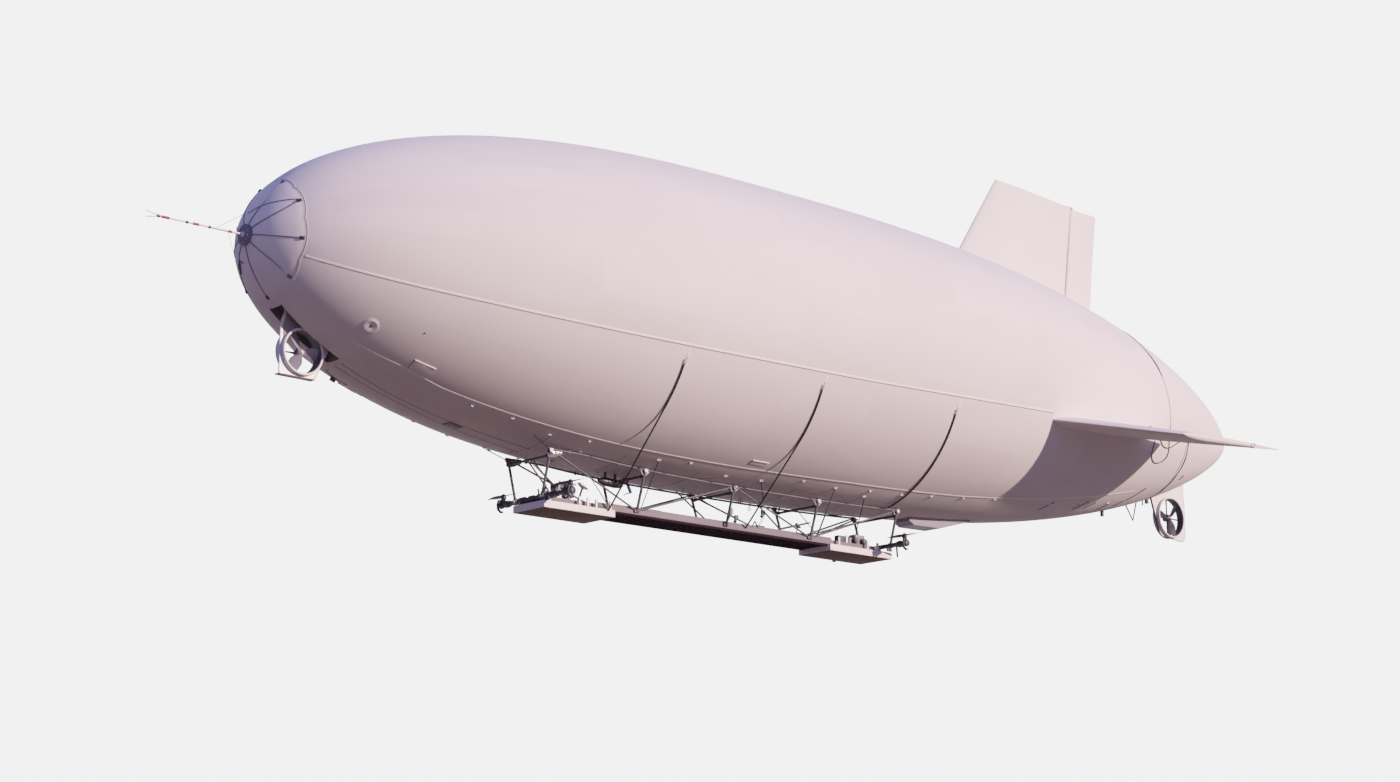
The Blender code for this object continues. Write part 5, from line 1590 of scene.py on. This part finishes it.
class AIRSHIP_OT_deck(bpy.types.Operator):
    """Builds the two platforms and the ribbed walkway between them"""

    bl_idname = "airship.deck"
    bl_label = "Deck"

    def execute(self, context):
        finish = finishes()
        low = PLATFORM_TOP - PLATFORM_DEPTH
        front, rear = x_at(FRAME_STATION), x_at(frame_station(FRAME_COUNT - 1))
        for name, start, end in (("front_platform", front, front - FRONT_PLATFORM),
                                 ("rear_platform", rear + REAR_PLATFORM, rear)):
            bm = bmesh.new()
            add_block(bm, (end, -PLATFORM_HALF, low), (start, PLATFORM_HALF, PLATFORM_TOP), None, 0.004)
            bm.normal_update()
            # Faces that look down take a darker brown: painted shade under the platform.
            for face in bm.faces:
                if face.normal.z < -0.7:
                    face.material_index = 1
            for side in (1, -1):
                for height in (low + 0.004, PLATFORM_TOP - 0.008):
                    add_block(bm, (end + 0.004, side * PLATFORM_HALF - 0.001, height),
                              (start - 0.004, side * (PLATFORM_HALF + 0.0015), height + 0.004), None, 0.0)
            finish_piece(name + "_box", bm, [finish["panel"], finish["underside_painted_shade"]], slot="deck_panel",
                         stands_for=(name,))
            count = int((start - end) / RIVET_PITCH)
            rivets = []
            for index in range(count + 1):
                x = end + 0.020 + (start - end - 0.040) * index / count
                for side in (1, -1):
                    rivets.append(((x, side * (PLATFORM_HALF + 0.0005), low + 0.014), (0, side, 0)))
                    rivets.append(((x, side * (PLATFORM_HALF + 0.0005), PLATFORM_TOP - 0.014), (0, side, 0)))
            heads(name + "_rivets", rivets, 0.003, 0.003, finish["steel"], slot="deck_panel")
        start, end = front - FRONT_PLATFORM, rear + REAR_PLATFORM
        bm = bmesh.new()
        add_block(bm, (REAR_BOOM_X + 0.024, -DECK_HALF, PLATFORM_TOP + 0.0003),
                  (FRONT_BOOM_X - 0.024, DECK_HALF, DECK_TOP), None, 0.003)
        finish_piece("walkway_plank", bm, finish["walkway_side"], slot="deck_panel", stands_for=("mid_deck",))
        bm = bmesh.new()
        for side in (1, -1):
            add_block(bm, (end - 0.05, side * 0.1485 - 0.0015, DECK_TOP - 0.001),
                      (start + 0.02, side * 0.1485 + 0.0015, DECK_TOP + 0.018), None, 0.0008)
            # Dark blocks and a sheet under the walkway, like the ribs below it, are near black: painted
            # shade.
            add_block(bm, (end + 0.001, side * 0.143 - 0.006, PLATFORM_TOP - 0.018),
                      (start - 0.001, side * 0.143 + 0.006, PLATFORM_TOP + 0.0002), None, 0.001, 1)
        add_block(bm, (end + 0.001, -0.138, PLATFORM_TOP - 0.006),
                  (start - 0.001, 0.138, PLATFORM_TOP + 0.0002), None, 0.0, 1)
        finish_piece("walkway_edges", bm, [finish["walkway_side"], finish["walkway_painted_shade"]], slot="deck_panel")
        count = int((start - end) / RIB_SPACING)
        pitch = (start - end) / count
        ribs = run_tree("walkway_ribs", bpy.data.meshes.new("ribs_start"), tree_named("slats", slats_tree), {
            "Count": count, "Size": (pitch * 0.4, 0.270, 0.010),
            "First": (end + pitch * 0.5, 0, PLATFORM_TOP - 0.010), "Pitch": (pitch, 0, 0),
            "Finish": finish["walkway_painted_shade"]})
        dress_tree(ribs, "hull", "dark_tube", (), 20)
        bm = bmesh.new()
        for side in (1, -1):
            for x in STANCHIONS:
                add_pad(bm, x, side * 0.180 + 0.0005, 0.010, 0.0055,
                        PLATFORM_TOP - 0.010, PLATFORM_TOP + 0.064, 0.0015)
                add_bolt(bm, (x, side * 0.186, PLATFORM_TOP + 0.040), (0, side, 0), 0.003, 0.003)
            add_pad(bm, 1.995, side * 0.168, 0.050, 0.012, PLATFORM_TOP, PLATFORM_TOP + 0.044, 0.003, 1)
            for x, long, high in DECK_BOXES:
                add_pad(bm, x, side * 0.118, long / 2, 0.024, DECK_TOP, DECK_TOP + high, 0.004, 1)
            add_pad(bm, -0.6875, side * 0.146, 0.0125, 0.004, DECK_TOP - 0.004, DECK_TOP + 0.062, 0.0015)
        finish_piece("deck_stanchions", bm, [finish["pale_paint"], finish["black_tube"]], slot="white_paint")
        return {"FINISHED"}


# Cowl leaf beside the front engine: forward, up
COWL_LEAF = ((2.190, -1.407), (2.155, -1.398), (2.110, -1.418), (2.080, -1.447), (2.130, -1.452))


def engine_cylinder(bm, spot, side):
    """A finned cylinder that lies out to the side."""
    profile = [(AXIS, 0.0)]
    for fin in range(5):
        foot = 0.005 * fin
        profile += [(0.026, foot + 0.002), (0.026, foot + 0.0045),
                    (0.020, foot + 0.0045), (0.020, foot + 0.007)]
    profile += [(0.022, 0.027), (0.018, 0.031), (AXIS, 0.031)]
    add_lathe(bm, profile, facing(spot, (0, side, 0.25)), 20)


def engine_pipes(name, start, base, finish):
    """The intake box with its slats, the exhaust stacks, hoses and trays of an engine."""
    bm = bmesh.new()
    add_block(bm, (start - 0.215, -0.048, base + 0.100), (start - 0.110, 0.048, base + 0.134), None, 0.008)
    for slat in range(5):
        add_pad(bm, start - 0.201 + 0.020 * slat, 0, 0.004, 0.052, base + 0.132, base + 0.142, 0.001, 1)
    for side in (1, -1):
        for row in range(2):
            foot = Vector((start - 0.080 - 0.100 * row, side * 0.060, base + 0.055))
            bends = ((0, 0, 0), (0, 0.022, 0.020), (-0.012, 0.026, 0.062), (-0.018, 0.026, 0.088))
            add_tube(bm, [foot + Vector((u, side * v, w)) for u, v, w in bends], [0.008, 0.009, 0.009, 0.010],
                     12, 1)
        hose = ((-0.020, 0.030, 0.020), (0.010, 0.034, 0.050), (0.020, 0.030, 0.085))
        add_tube(bm, [(start + u, side * v, base + w) for u, v, w in hose], 0.006, 10)
        add_pad(bm, start - 0.140, side * 0.072, 0.110, 0.010, base, base + 0.016, 0.003)
    add_tube(bm, [(start - 0.180, 0, base + 0.100), (start - 0.180, 0, base + 0.128)], [0.020, 0.026], 20)
    finish_piece(name + "_pipes", bm, [finish["black_tube"], finish["casting_pink"]], slot="engine_grey")


def engine_cowl(finish):
    """Cowl leaves, brackets and pipes beside the front engine."""
    bm = bmesh.new()
    for side in (1, -1):
        add_plate(bm, rounded(COWL_LEAF, 0.010), side_view(), -0.100 * side - 0.006, -0.100 * side + 0.006)
        prop = ((2.140, 0.100, -1.445), (2.145, 0.080, -1.500), (2.150, 0.060, -1.540))
        add_tube(bm, [(x, side * y, z) for x, y, z in prop], 0.007, 10, 1)
        pipe = ((2.260, 0.090, -1.555), (2.255, 0.092, -1.440), (2.200, 0.094, -1.420))
        add_tube(bm, [(x, side * y, z) for x, y, z in pipe], 0.009, 12)
        add_pad(bm, 2.240, side * 0.085, 0.035, 0.016, -1.500, -1.455, 0.008)
    finish_piece("front_engine_cowl", bm, [finish["casting_pink"], finish["black_tube"]], slot="engine_grey")


class AIRSHIP_OT_engines(bpy.types.Operator):
    """Builds the two engines on the deck, and the gear round them"""

    bl_idname = "airship.engines"
    bl_label = "Engines"

    def execute(self, context):
        finish = finishes()
        base = DECK_TOP + 0.0005
        for name, start, casting in (("front_engine", FRONT_BOOM_X - 0.060, "engine_casting"),
                                     ("rear_engine", REAR_BOOM_X + 0.320, "dark_tube")):
            bm = bmesh.new()
            add_block(bm, (start - 0.24, -0.05, base), (start - 0.02, 0.05, base + 0.07), None, 0.008)
            for side in (1, -1):
                for row in range(2):
                    engine_cylinder(bm, (start - 0.08 - 0.10 * row, side * 0.048, base + 0.045), side)
            add_lathe(bm, [(AXIS, 0), (0.030, 0), (0.034, 0.008), (0.030, 0.020), (AXIS, 0.020)],
                      facing((start - 0.021, 0, base + 0.045), (1, 0, 0)), 28)
            add_block(bm, (start - 0.22, -0.035, base + 0.068), (start - 0.10, 0.035, base + 0.106), None,
                      0.010, 1)
            finish_piece(name + "_block", bm, [finish[casting], finish["grey_paint"]], slot="engine_grey",
                         stands_for=(name,))
            if name == "front_engine":
                engine_pipes(name, start, base, finish)
        engine_cowl(finish)
        gondola_gear(finish)
        return {"FINISHED"}


# Hooks on the gondola's middle line: x, z
HOOKS = ((0.290, -1.372), (0.395, -1.318), (1.020, -1.336), (1.900, -1.262), (2.350, -1.236))


def gondola_gear(finish):
    """Pods, brackets, tensioners and cables hung in the gondola."""
    bm = bmesh.new()
    add_lathe(bm, [(AXIS, -0.125), (0.016, -0.120), (0.028, -0.095), (0.034, -0.045), (0.034, 0.045),
                   (0.028, 0.090), (0.014, 0.118), (AXIS, 0.125)],
              facing((1.775, 0, -1.340), (1, 0, 0.05)), 24)
    for x in (1.725, 1.825):
        add_pad(bm, x, 0, 0.008, 0.008, -1.320, -1.262, 0.001)
    add_lathe(bm, [(AXIS, 0), (0.020, 0.003), (0.026, 0.014), (0.023, 0.044), (0.010, 0.060), (AXIS, 0.062)],
              facing((1.662, 0.010, -1.312), (-0.95, 0.2, 0.1)), 20, 1)
    add_tube(bm, [(1.612, 0.004, -1.305), (1.595, 0.004, -1.340), (1.572, 0.004, -1.385),
                  (1.560, 0.004, -1.392), (1.600, 0.002, -1.402), (1.640, 0, -1.420)],
             [0.006, 0.013, 0.012, 0.006, 0.004, 0.003], 14, 2)
    finish_piece("belly_pod", bm, [finish["dark_metal"], finish["red"], finish["blue"]], slot="dark_metal")
    bm = bmesh.new()
    top, low = truss_nodes(2, 1)
    way = (top - low).normalized()
    spot = low.lerp(top, 0.32) + Vector((0, 0.020, 0))
    add_lathe(bm, [(AXIS, -0.040), (0.011, -0.034), (0.019, -0.018), (0.021, 0.0), (0.019, 0.018),
                   (0.011, 0.034), (AXIS, 0.040)], facing(spot, way), 24)
    cable = [spot - way * 0.036, spot - way * 0.075 + Vector((0.010, 0, 0)), spot - way * 0.110]
    add_tube(bm, cable, 0.005, 10, 1)
    for side in (1, -1):
        add_pad(bm, -0.680, side * 0.128, 0.020, 0.010, DECK_TOP, DECK_TOP + 0.018, 0.002)
    finish_piece("post_pod", bm, [finish["pod_paint"], finish["grey_paint"]], slot="white_paint")
    bm = bmesh.new()
    for side in (1, -1):
        add_pad(bm, 0.287, side * 0.157, 0.017, 0.010, -1.440, -1.400, 0.005)
        add_lathe(bm, [(AXIS, 0), (0.012, 0), (0.014, 0.010), (0.008, 0.018), (AXIS, 0.018)],
                  facing((0.300, side * 0.157, -1.446), (0.2, 0, -1)), 16)
        for u in (0.0, 0.016):
            add_tube(bm, [(0.282 + u, side * 0.160, -1.440), (0.292 + u, side * 0.162, -1.480),
                          (0.330 + u, side * 0.160, -1.530), (0.350, side * 0.150, -1.552)], 0.0022, 8)
        for foot in (0.405, 0.345):
            add_tube(bm, [(0.375, side * 0.154, -1.500), (foot, side * 0.154, -1.545)], 0.0045, 10)
    finish_piece("stay_tensioners", bm, finish["blue"], slot="dark_metal")
    bm = bmesh.new()
    near, far = Vector((0.113, 0.150, -1.538)), Vector((-0.262, 0.150, -1.438))
    add_tube(bm, [near, near.lerp(far, 0.10), near.lerp(far, 0.90), far], [0.003, 0.008, 0.007, 0.003], 12)
    middle = near.lerp(far, 0.60)
    pod = [middle + Vector(step) for step in ((0.020, 0, 0.012), (0, 0, -0.010), (-0.030, 0, -0.016))]
    add_tube(bm, pod, [0.010, 0.015, 0.006], 14)
    prop = [middle, middle + Vector((0.012, 0, -0.050)), (middle.x + 0.012, 0.150, DECK_TOP)]
    add_tube(bm, prop, 0.004, 10)
    for x, z in HOOKS:
        add_hoop(bm, [(0.012, -0.002), (0.016, -0.002), (0.016, 0.002), (0.012, 0.002)],
                 facing((x, 0.0, z), (0, 1, 0)), 16)
        add_tube(bm, [(x, 0, z + 0.012), (x - 0.010, 0, z + 0.060)], 0.003, 8)
    for side in (1, -1):
        corner = truss_nodes(4, side)[0]
        add_plate(bm, rounded([(-0.050, -0.004), (0.060, -0.002), (0.010, -0.046)], 0.006),
                  Matrix.Translation(corner) @ side_view(), 0.010 * side - 0.003, 0.010 * side + 0.003)
    finish_piece("bar_and_hooks", bm, finish["black_tube"], slot="dark_tube")


# Lines on the tail's side: station, angle
TAIL_LOOPS = (((9.126, -22.3), (9.150, -30.5), (9.260, -35.5), (9.400, -35.0), (9.470, -30.0),
               (9.414, -21.3)),
              ((9.235, -21.7), (9.320, -24.9), (9.460, -25.2), (9.626, -20.5)),
              ((9.851, -19.5), (9.903, -34.0), (9.904, -48.8), (9.891, -61.4), (9.905, -78.0)))


def belly_at(x):
    """Height of the belly, a little inside the skin."""
    return 0.004 - hull_radius(sizes().nose_x - x)


def tail_gear(finish):
    """Loops, slots and fittings on the tail, and the two-legged aerial under it."""
    loops = []
    for path, above in [(path, 0.004) for path in TAIL_LOOPS] + [(TAIL_ARCS[0], 0.003)]:
        points = smooth_run([hull_point(station, degrees, above) for station, degrees in path])
        loops += [points, [mirrored(point) for point in points]]
    lines("tail_loops", loops, 0.0036, finish["rope"], slot="rope_black")
    aerial = [[(-4.614, 0, belly_at(-4.614)), (-4.715, 0, -0.887), (-4.779, 0, belly_at(-4.779))],
              [(-4.257, 0, belly_at(-4.257)), (-4.257, 0, -0.898)],
              [(-4.872, 0, belly_at(-4.872)), (-4.872, 0, -0.722)]]
    lines("tail_aerial", [[Vector(spot) for spot in path] for path in aerial], 0.0062, finish["disc_paint"],
          slot="dark_tube")
    bm = bmesh.new()
    for side in (1, -1):
        for near, far in (((10.069, -53.6), (10.092, -48.4)), ((9.330, -68.0), (9.460, -56.0)),
                          ((9.240, -74.0), (9.290, -68.0)), ((8.040, -71.0), (8.120, -64.0)),
                          ((8.930, -17.0), (8.985, -15.0)), ((8.560, -72.0), (8.650, -64.0)),
                          ((8.730, -72.0), (8.800, -66.0)), ((9.020, -76.0), (9.100, -69.0))):
            add_tape(bm, tape_rows((near, far), 6), 0.0115, 0.0050, side)
    for x, z, size in ((-4.747, -0.690, 0.016), (-4.938, -0.688, 0.014), (-4.257, -0.892, 0.012)):
        add_pad(bm, x, 0, size, 0.012, z - size * 0.7, max(belly_at(x), z + size), 0.003)
    finish_piece("tail_fittings", bm, finish["black_tube"], slot="dark_tube")


def smooth_run(points):
    """A run of points with a smooth curve laid through them."""
    curve = []
    last = len(points) - 1
    for index in range(last):
        before, near = points[max(index - 1, 0)], points[index]
        far, after = points[index + 1], points[min(index + 2, last)]
        bend = 2 * before - 5 * near + 4 * far - after
        twist = 3 * near - before - 3 * far + after
        for step in range(6):
            share = step / 6
            curve.append(0.5 * (2 * near + (far - before) * share + bend * share ** 2 + twist * share ** 3))
    return curve + [points[-1]]


# Propellers and their booms

def add_propeller(bm, base):
    """Two shaped blades in a round hub, its axis upright."""
    place = Matrix.Translation(base)
    add_lathe(bm, [(AXIS, 0), (0.022, 0), (0.022, 0.008), (0.020, 0.016), (0.014, 0.025), (0.006, 0.030),
                   (AXIS, 0.030)], place, 24)
    middle = base + Vector((0, 0, 0.0135))
    for turned in range(2):
        out = Matrix.Translation(middle) @ Matrix.Rotation(math.radians(90 + 180 * turned), 4, "Z")
        out = out @ Matrix.Rotation(math.radians(90), 4, "Y")
        stations = []
        for step in range(13):
            share = step / 12
            chord = 0.022 + 0.016 * math.sin(math.pi * min(share * 1.1 + 0.08, 1.0)) - 0.016 * share ** 5
            stations.append((0.012 + (PROP_RADIUS - 0.012) * share, chord, 0.008 - 0.005 * share,
                             90 + 34 - 22 * share))
        add_blade(bm, out, stations, BLADE_SECTION)


# Arm of a tilting head, seen from the side: forward, up
HEAD_ARM = ((0.000, 0.035), (0.030, 0.030), (0.040, 0.000),
            (0.034, -0.035), (0.010, -0.055), (-0.012, -0.050))


def add_head(bm, axis, side):
    """A tilting gear head: drum, C-shaped bracket and neck."""
    root = axis + Vector((0, -side * 0.0647, 0))
    across = facing(root, (0, side, 0))
    add_lathe(bm, [(AXIS, 0), (0.024, 0), (0.028, 0.004), (0.028, 0.024), (0.022, 0.028), (0.021, 0.070),
                   (0.027, 0.074), (0.027, 0.096), (0.020, 0.100), (AXIS, 0.100)], across, 28)
    neck = [axis + Vector((0, 0, rise)) for rise in (0, 0.040, 0.048, 0.0548)]
    add_tube(bm, neck, [0.016, 0.016, 0.020, 0.020], 24)
    arm = [axis + Vector((u, side * 0.020, v)) for u, v in HEAD_ARM]
    add_tube(bm, arm, [0.009, 0.010, 0.010, 0.010, 0.009, 0.006], 12)


def add_collar(bm, middle, side, reach, radius, sides):
    """A collar on a boom, through spots at these distances from the boom's middle."""
    add_tube(bm, [middle + Vector((0, side * out, 0)) for out in reach], radius, sides)


class AIRSHIP_OT_drives(bpy.types.Operator):
    """Builds the cross-booms, tilting heads and propellers"""

    bl_idname = "airship.drives"
    bl_label = "Drives"

    def execute(self, context):
        finish = finishes()
        for name, x, propped in (("front", FRONT_BOOM_X, False), ("rear", REAR_BOOM_X, True)):
            middle = Vector((x, 0, BOOM_HEIGHT))
            bm = bmesh.new()
            reach = Vector((0, BOOM_HALF, 0))
            add_tube(bm, [middle - reach, middle + reach], BOOM_RADIUS, 24)
            for side in (1, -1):
                add_pad(bm, x, side * 0.100, 0.012, 0.012, PLATFORM_TOP + 0.0003, BOOM_HEIGHT, 0.002)
                add_collar(bm, middle, side, (0.225, 0.260), 0.023, 24)
                if not propped:
                    add_collar(bm, middle, side, (0.118, 0.135, 0.195, 0.212),
                               [0.016, 0.028, 0.028, 0.018], 20)
                    add_collar(bm, middle, side, (0.015, 0.025, 0.075, 0.085),
                               [0.016, 0.026, 0.026, 0.016], 20)
                add_collar(bm, middle, side, (0.317, 0.3345), 0.024, 24)
                if propped:
                    foot = Vector((middle.x - 0.130, side * (PLATFORM_HALF + 0.0073), PLATFORM_TOP - 0.028))
                    end = middle + Vector((0, side * 0.307, -0.009))
                    add_tube(bm, [foot, end], BRACE_RADIUS, 12)
            finish_piece(name + "_cross_boom", bm, finish["black_tube"], slot="dark_tube",
                         stands_for=(name + "_boom",))
            for label, side in (("port", 1), ("starboard", -1)):
                axis = middle + Vector((0, side * PROP_AXIS, 0))
                bm = bmesh.new()
                add_head(bm, axis, side)
                head = f"{name}_{label}_head"
                finish_piece(head + "_casting", bm, finish["black_tube"], body=head, slot="dark_metal",
                             stands_for=(head,))
                bm = bmesh.new()
                add_propeller(bm, axis + Vector((0, 0, 0.0553)))
                blade = f"{name}_{label}_propeller"
                finish_piece(blade + "_blades", bm, finish["dark_metal"], body=blade, slot="dark_metal",
                             stands_for=(blade,), smooth=50)
        return {"FINISHED"}


# Stays

# Distance of a stay's middle line from the hull's skin
STAY_CLEAR = 0.0070
# The patch at a stay's top, from where the stay starts: station, angle
STAY_PATCH = ((0.004, 0.5), (0.012, 2.6), (0.020, 5.0))


def stay_path(station, degrees, low):
    """Lies on the hull, leaves it at a tangent and runs straight to its foot."""
    low = Vector(low)
    radius = hull_radius(station) + STAY_CLEAR
    distance = math.hypot(low.y, low.z)
    leave = math.atan2(low.z, low.y) + math.acos(min(radius / distance, 1.0))
    start = math.radians(degrees)
    points = []
    total = radius * (start - leave) + math.sqrt(max(distance ** 2 - radius ** 2, 0.0))
    for step in range(17):
        angle = start + (leave - start) * step / 16
        along = radius * (start - angle)
        x = x_at(station) + (low.x - x_at(station)) * along / total
        near = hull_radius(sizes().nose_x - x) + STAY_CLEAR
        points.append(Vector((x, near * math.cos(angle), near * math.sin(angle))))
    return points + [low]


class AIRSHIP_OT_stays(bpy.types.Operator):
    """Builds the six stays with their patches and end fittings"""

    bl_idname = "airship.stays"
    bl_label = "Stays"

    def execute(self, context):
        finish = finishes()
        for name, station, degrees, low in STAYS:
            for label, side in (("port", 1), ("starboard", -1)):
                path = stay_path(station, degrees, low)
                if side < 0:
                    path = [mirrored(point) for point in path]
                lines(f"{name}_{label}_rope", [path], 0.0062, finish["rope"], slot="rope_black", sides=12,
                      stands_for=(f"{name}_{label}",))
        bm = bmesh.new()
        for name, station, degrees, low in STAYS:
            for side in (1, -1):
                run = [(station + back, degrees + up) for back, up in STAY_PATCH]
                add_tape(bm, tape_rows(run, 6), 0.020, 0.0016, side, 1)
                add_tape(bm, tape_rows((run[0], run[1]), 4), 0.007, 0.0045, side)
                place = hull_frame(station, degrees + 0.4, 0.0, side)
                add_block(bm, (-0.011, -0.020, -0.004), (0.011, 0.026, 0.0075), place, 0.003)
        finish_piece("stay_patches", bm, [finish["steel"], finish["tape_bright"]], slot="envelope_fabric")
        return {"FINISHED"}


# Stage

# The strongest light that the film response still tells from a stronger one
FILM_RANGE = 4.0
FLOOR_HEIGHT = -5.16
FLOOR_SIZE = 60.0
# Light of the surroundings, from straight below (0) to straight above (1)
SKY_STOPS = ((0.0, (0.150, 0.080, 0.063)), (0.48, (0.238, 0.202, 0.262)), (0.54, (0.26, 0.28, 0.52)),
             (1.0, (0.31, 0.38, 0.90)))
# Name, strength, colour, width in degrees, direction to the lamp
SUNS = (("key", 5.9, (1.0, 0.83, 0.70), 1.3, (-0.439, 0.861, 0.259)),
        ("fill", 1.5, (1.0, 0.95, 0.92), 40.0, (-0.60, -0.75, 0.28)))
CAMERA_PLACE = Vector((14.457, 14.835, -5.073))
CAMERA_AIM = Vector((0.826, 0, -0.469))
CAMERA_ROLL = -0.28
CAMERA_LENS = 65.99


def film_response(view):
    """A soft shoulder in the highlights, as film has."""
    view.view_transform = "Standard"
    view.use_curve_mapping = True
    mapping = view.curve_mapping
    mapping.white_level = (FILM_RANGE, FILM_RANGE, FILM_RANGE)
    curve = mapping.curves[3]
    while len(curve.points) < 17:
        curve.points.new(0.5, 0.5)
    for index in range(17):
        share = (index / 16) ** 1.7
        curve.points[index].location = (share, 1.0 - math.exp(-FILM_RANGE * share))
    mapping.update()


def before_film(tone):
    """The light that the film response turns to a tone."""
    return -math.log(1.0 - tone)


class AIRSHIP_OT_stage(bpy.types.Operator):
    """Sets the floor, the backdrop, the lights and the camera"""

    bl_idname = "airship.stage"
    bl_label = "Stage"

    def execute(self, context):
        scene = context.scene
        film_response(scene.view_settings)
        bm = bmesh.new()
        bmesh.ops.create_grid(bm, x_segments=2, y_segments=2, size=FLOOR_SIZE)
        bmesh.ops.translate(bm, vec=(0, 0, FLOOR_HEIGHT), verts=bm.verts)
        mesh = bpy.data.meshes.new("floor")
        bm.to_mesh(mesh)
        bm.free()
        floor = bpy.data.objects.new("floor", mesh)
        scene.collection.objects.link(floor)
        floor.data.materials.append(paint_finish("floor_paint", (0.90, 0.88, 0.67), 0.7, 0.0, 0.0, 1.0))
        floor.visible_diffuse = False
        sky = bpy.data.worlds.new("sky")
        scene.world = sky
        sky.use_nodes = True
        nodes, links = sky.node_tree.nodes, sky.node_tree.links
        nodes.clear()
        end = nodes.new("ShaderNodeOutputWorld")
        both = nodes.new("ShaderNodeMixShader")
        seen, lit = nodes.new("ShaderNodeBackground"), nodes.new("ShaderNodeBackground")
        seen.inputs[0].default_value = (*(before_film(tone) for tone in colours().backdrop), 1)
        links.new(nodes.new("ShaderNodeLightPath").outputs["Is Camera Ray"], both.inputs[0])
        ramp = nodes.new("ShaderNodeValToRGB")
        part = nodes.new("ShaderNodeSeparateXYZ")
        links.new(nodes.new("ShaderNodeTexCoord").outputs["Generated"], part.inputs[0])
        height = nodes.new("ShaderNodeMapRange")
        height.inputs[1].default_value = -1.0
        links.new(part.outputs[2], height.inputs[0])
        links.new(height.outputs[0], ramp.inputs[0])
        ramp.color_ramp.elements[0].position, ramp.color_ramp.elements[1].position = 0.0, 1.0
        for place, _ in SKY_STOPS[1:3]:
            ramp.color_ramp.elements.new(place)
        for element, (place, colour) in zip(ramp.color_ramp.elements, SKY_STOPS):
            element.position = place
            element.color = (*colour, 1)
        links.new(ramp.outputs[0], lit.inputs[0])
        links.new(lit.outputs[0], both.inputs[1])
        links.new(seen.outputs[0], both.inputs[2])
        links.new(both.outputs[0], end.inputs[0])
        for name, strength, colour, width, way in SUNS:
            lamp = bpy.data.lights.new(name, "SUN")
            lamp.energy, lamp.color, lamp.angle = strength, colour, math.radians(width)
            sun = bpy.data.objects.new(name, lamp)
            scene.collection.objects.link(sun)
            sun.rotation_euler = Vector(way).to_track_quat("Z", "Y").to_euler()
        eye = bpy.data.cameras.new("camera")
        eye.lens, eye.sensor_width, eye.clip_end = CAMERA_LENS, 36.0, 300.0
        camera = bpy.data.objects.new("camera", eye)
        scene.collection.objects.link(camera)
        look = (CAMERA_AIM - CAMERA_PLACE).to_track_quat("-Z", "Y").to_matrix()
        camera.location = CAMERA_PLACE
        camera.rotation_euler = (look @ Matrix.Rotation(math.radians(CAMERA_ROLL), 3, "Z")).to_euler()
        scene.camera = camera
        return {"FINISHED"}


class AIRSHIP_PT_panel(bpy.types.Panel):
    """Lists the sizes, the colours and the pieces"""

    bl_idname = "AIRSHIP_PT_panel"
    bl_label = "Scale model airship"
    bl_space_type = "VIEW_3D"
    bl_region_type = "UI"
    bl_category = "Airship"

    def draw(self, context):
        for group in (context.scene.airship_sizes, context.scene.airship_colours):
            box = self.layout.box()
            for name in group.__annotations__:
                box.prop(group, name)
        for operator in PIECES:
            self.layout.operator(operator.bl_idname)


PIECES = (AIRSHIP_OT_stage, AIRSHIP_OT_hull, AIRSHIP_OT_seams, AIRSHIP_OT_nose, AIRSHIP_OT_fins,
          AIRSHIP_OT_thrusters, AIRSHIP_OT_trusses, AIRSHIP_OT_deck, AIRSHIP_OT_engines, AIRSHIP_OT_drives,
          AIRSHIP_OT_stays)
CLASSES = (AirshipSizes, AirshipColours, *PIECES, AIRSHIP_PT_panel)


def register():
    for kind in CLASSES:
        bpy.utils.register_class(kind)
    bpy.types.Scene.airship_sizes = bpy.props.PointerProperty(type=AirshipSizes)
    bpy.types.Scene.airship_colours = bpy.props.PointerProperty(type=AirshipColours)


def unregister():
    del bpy.types.Scene.airship_colours
    del bpy.types.Scene.airship_sizes
    for kind in reversed(CLASSES):
        bpy.utils.unregister_class(kind)


def finish_cad_nodes():
    """Paints the keel box, the one CAD node that still shows."""
    paint = finishes()["grey_paint"]
    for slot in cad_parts["belly_fairing"].material_slots:
        slot.material = paint


def main():
    register()
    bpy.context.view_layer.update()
    for operator in PIECES:
        group, name = operator.bl_idname.split(".")
        getattr(getattr(bpy.ops, group), name)()
    finish_cad_nodes()


if __name__ == "__main__":
    main()
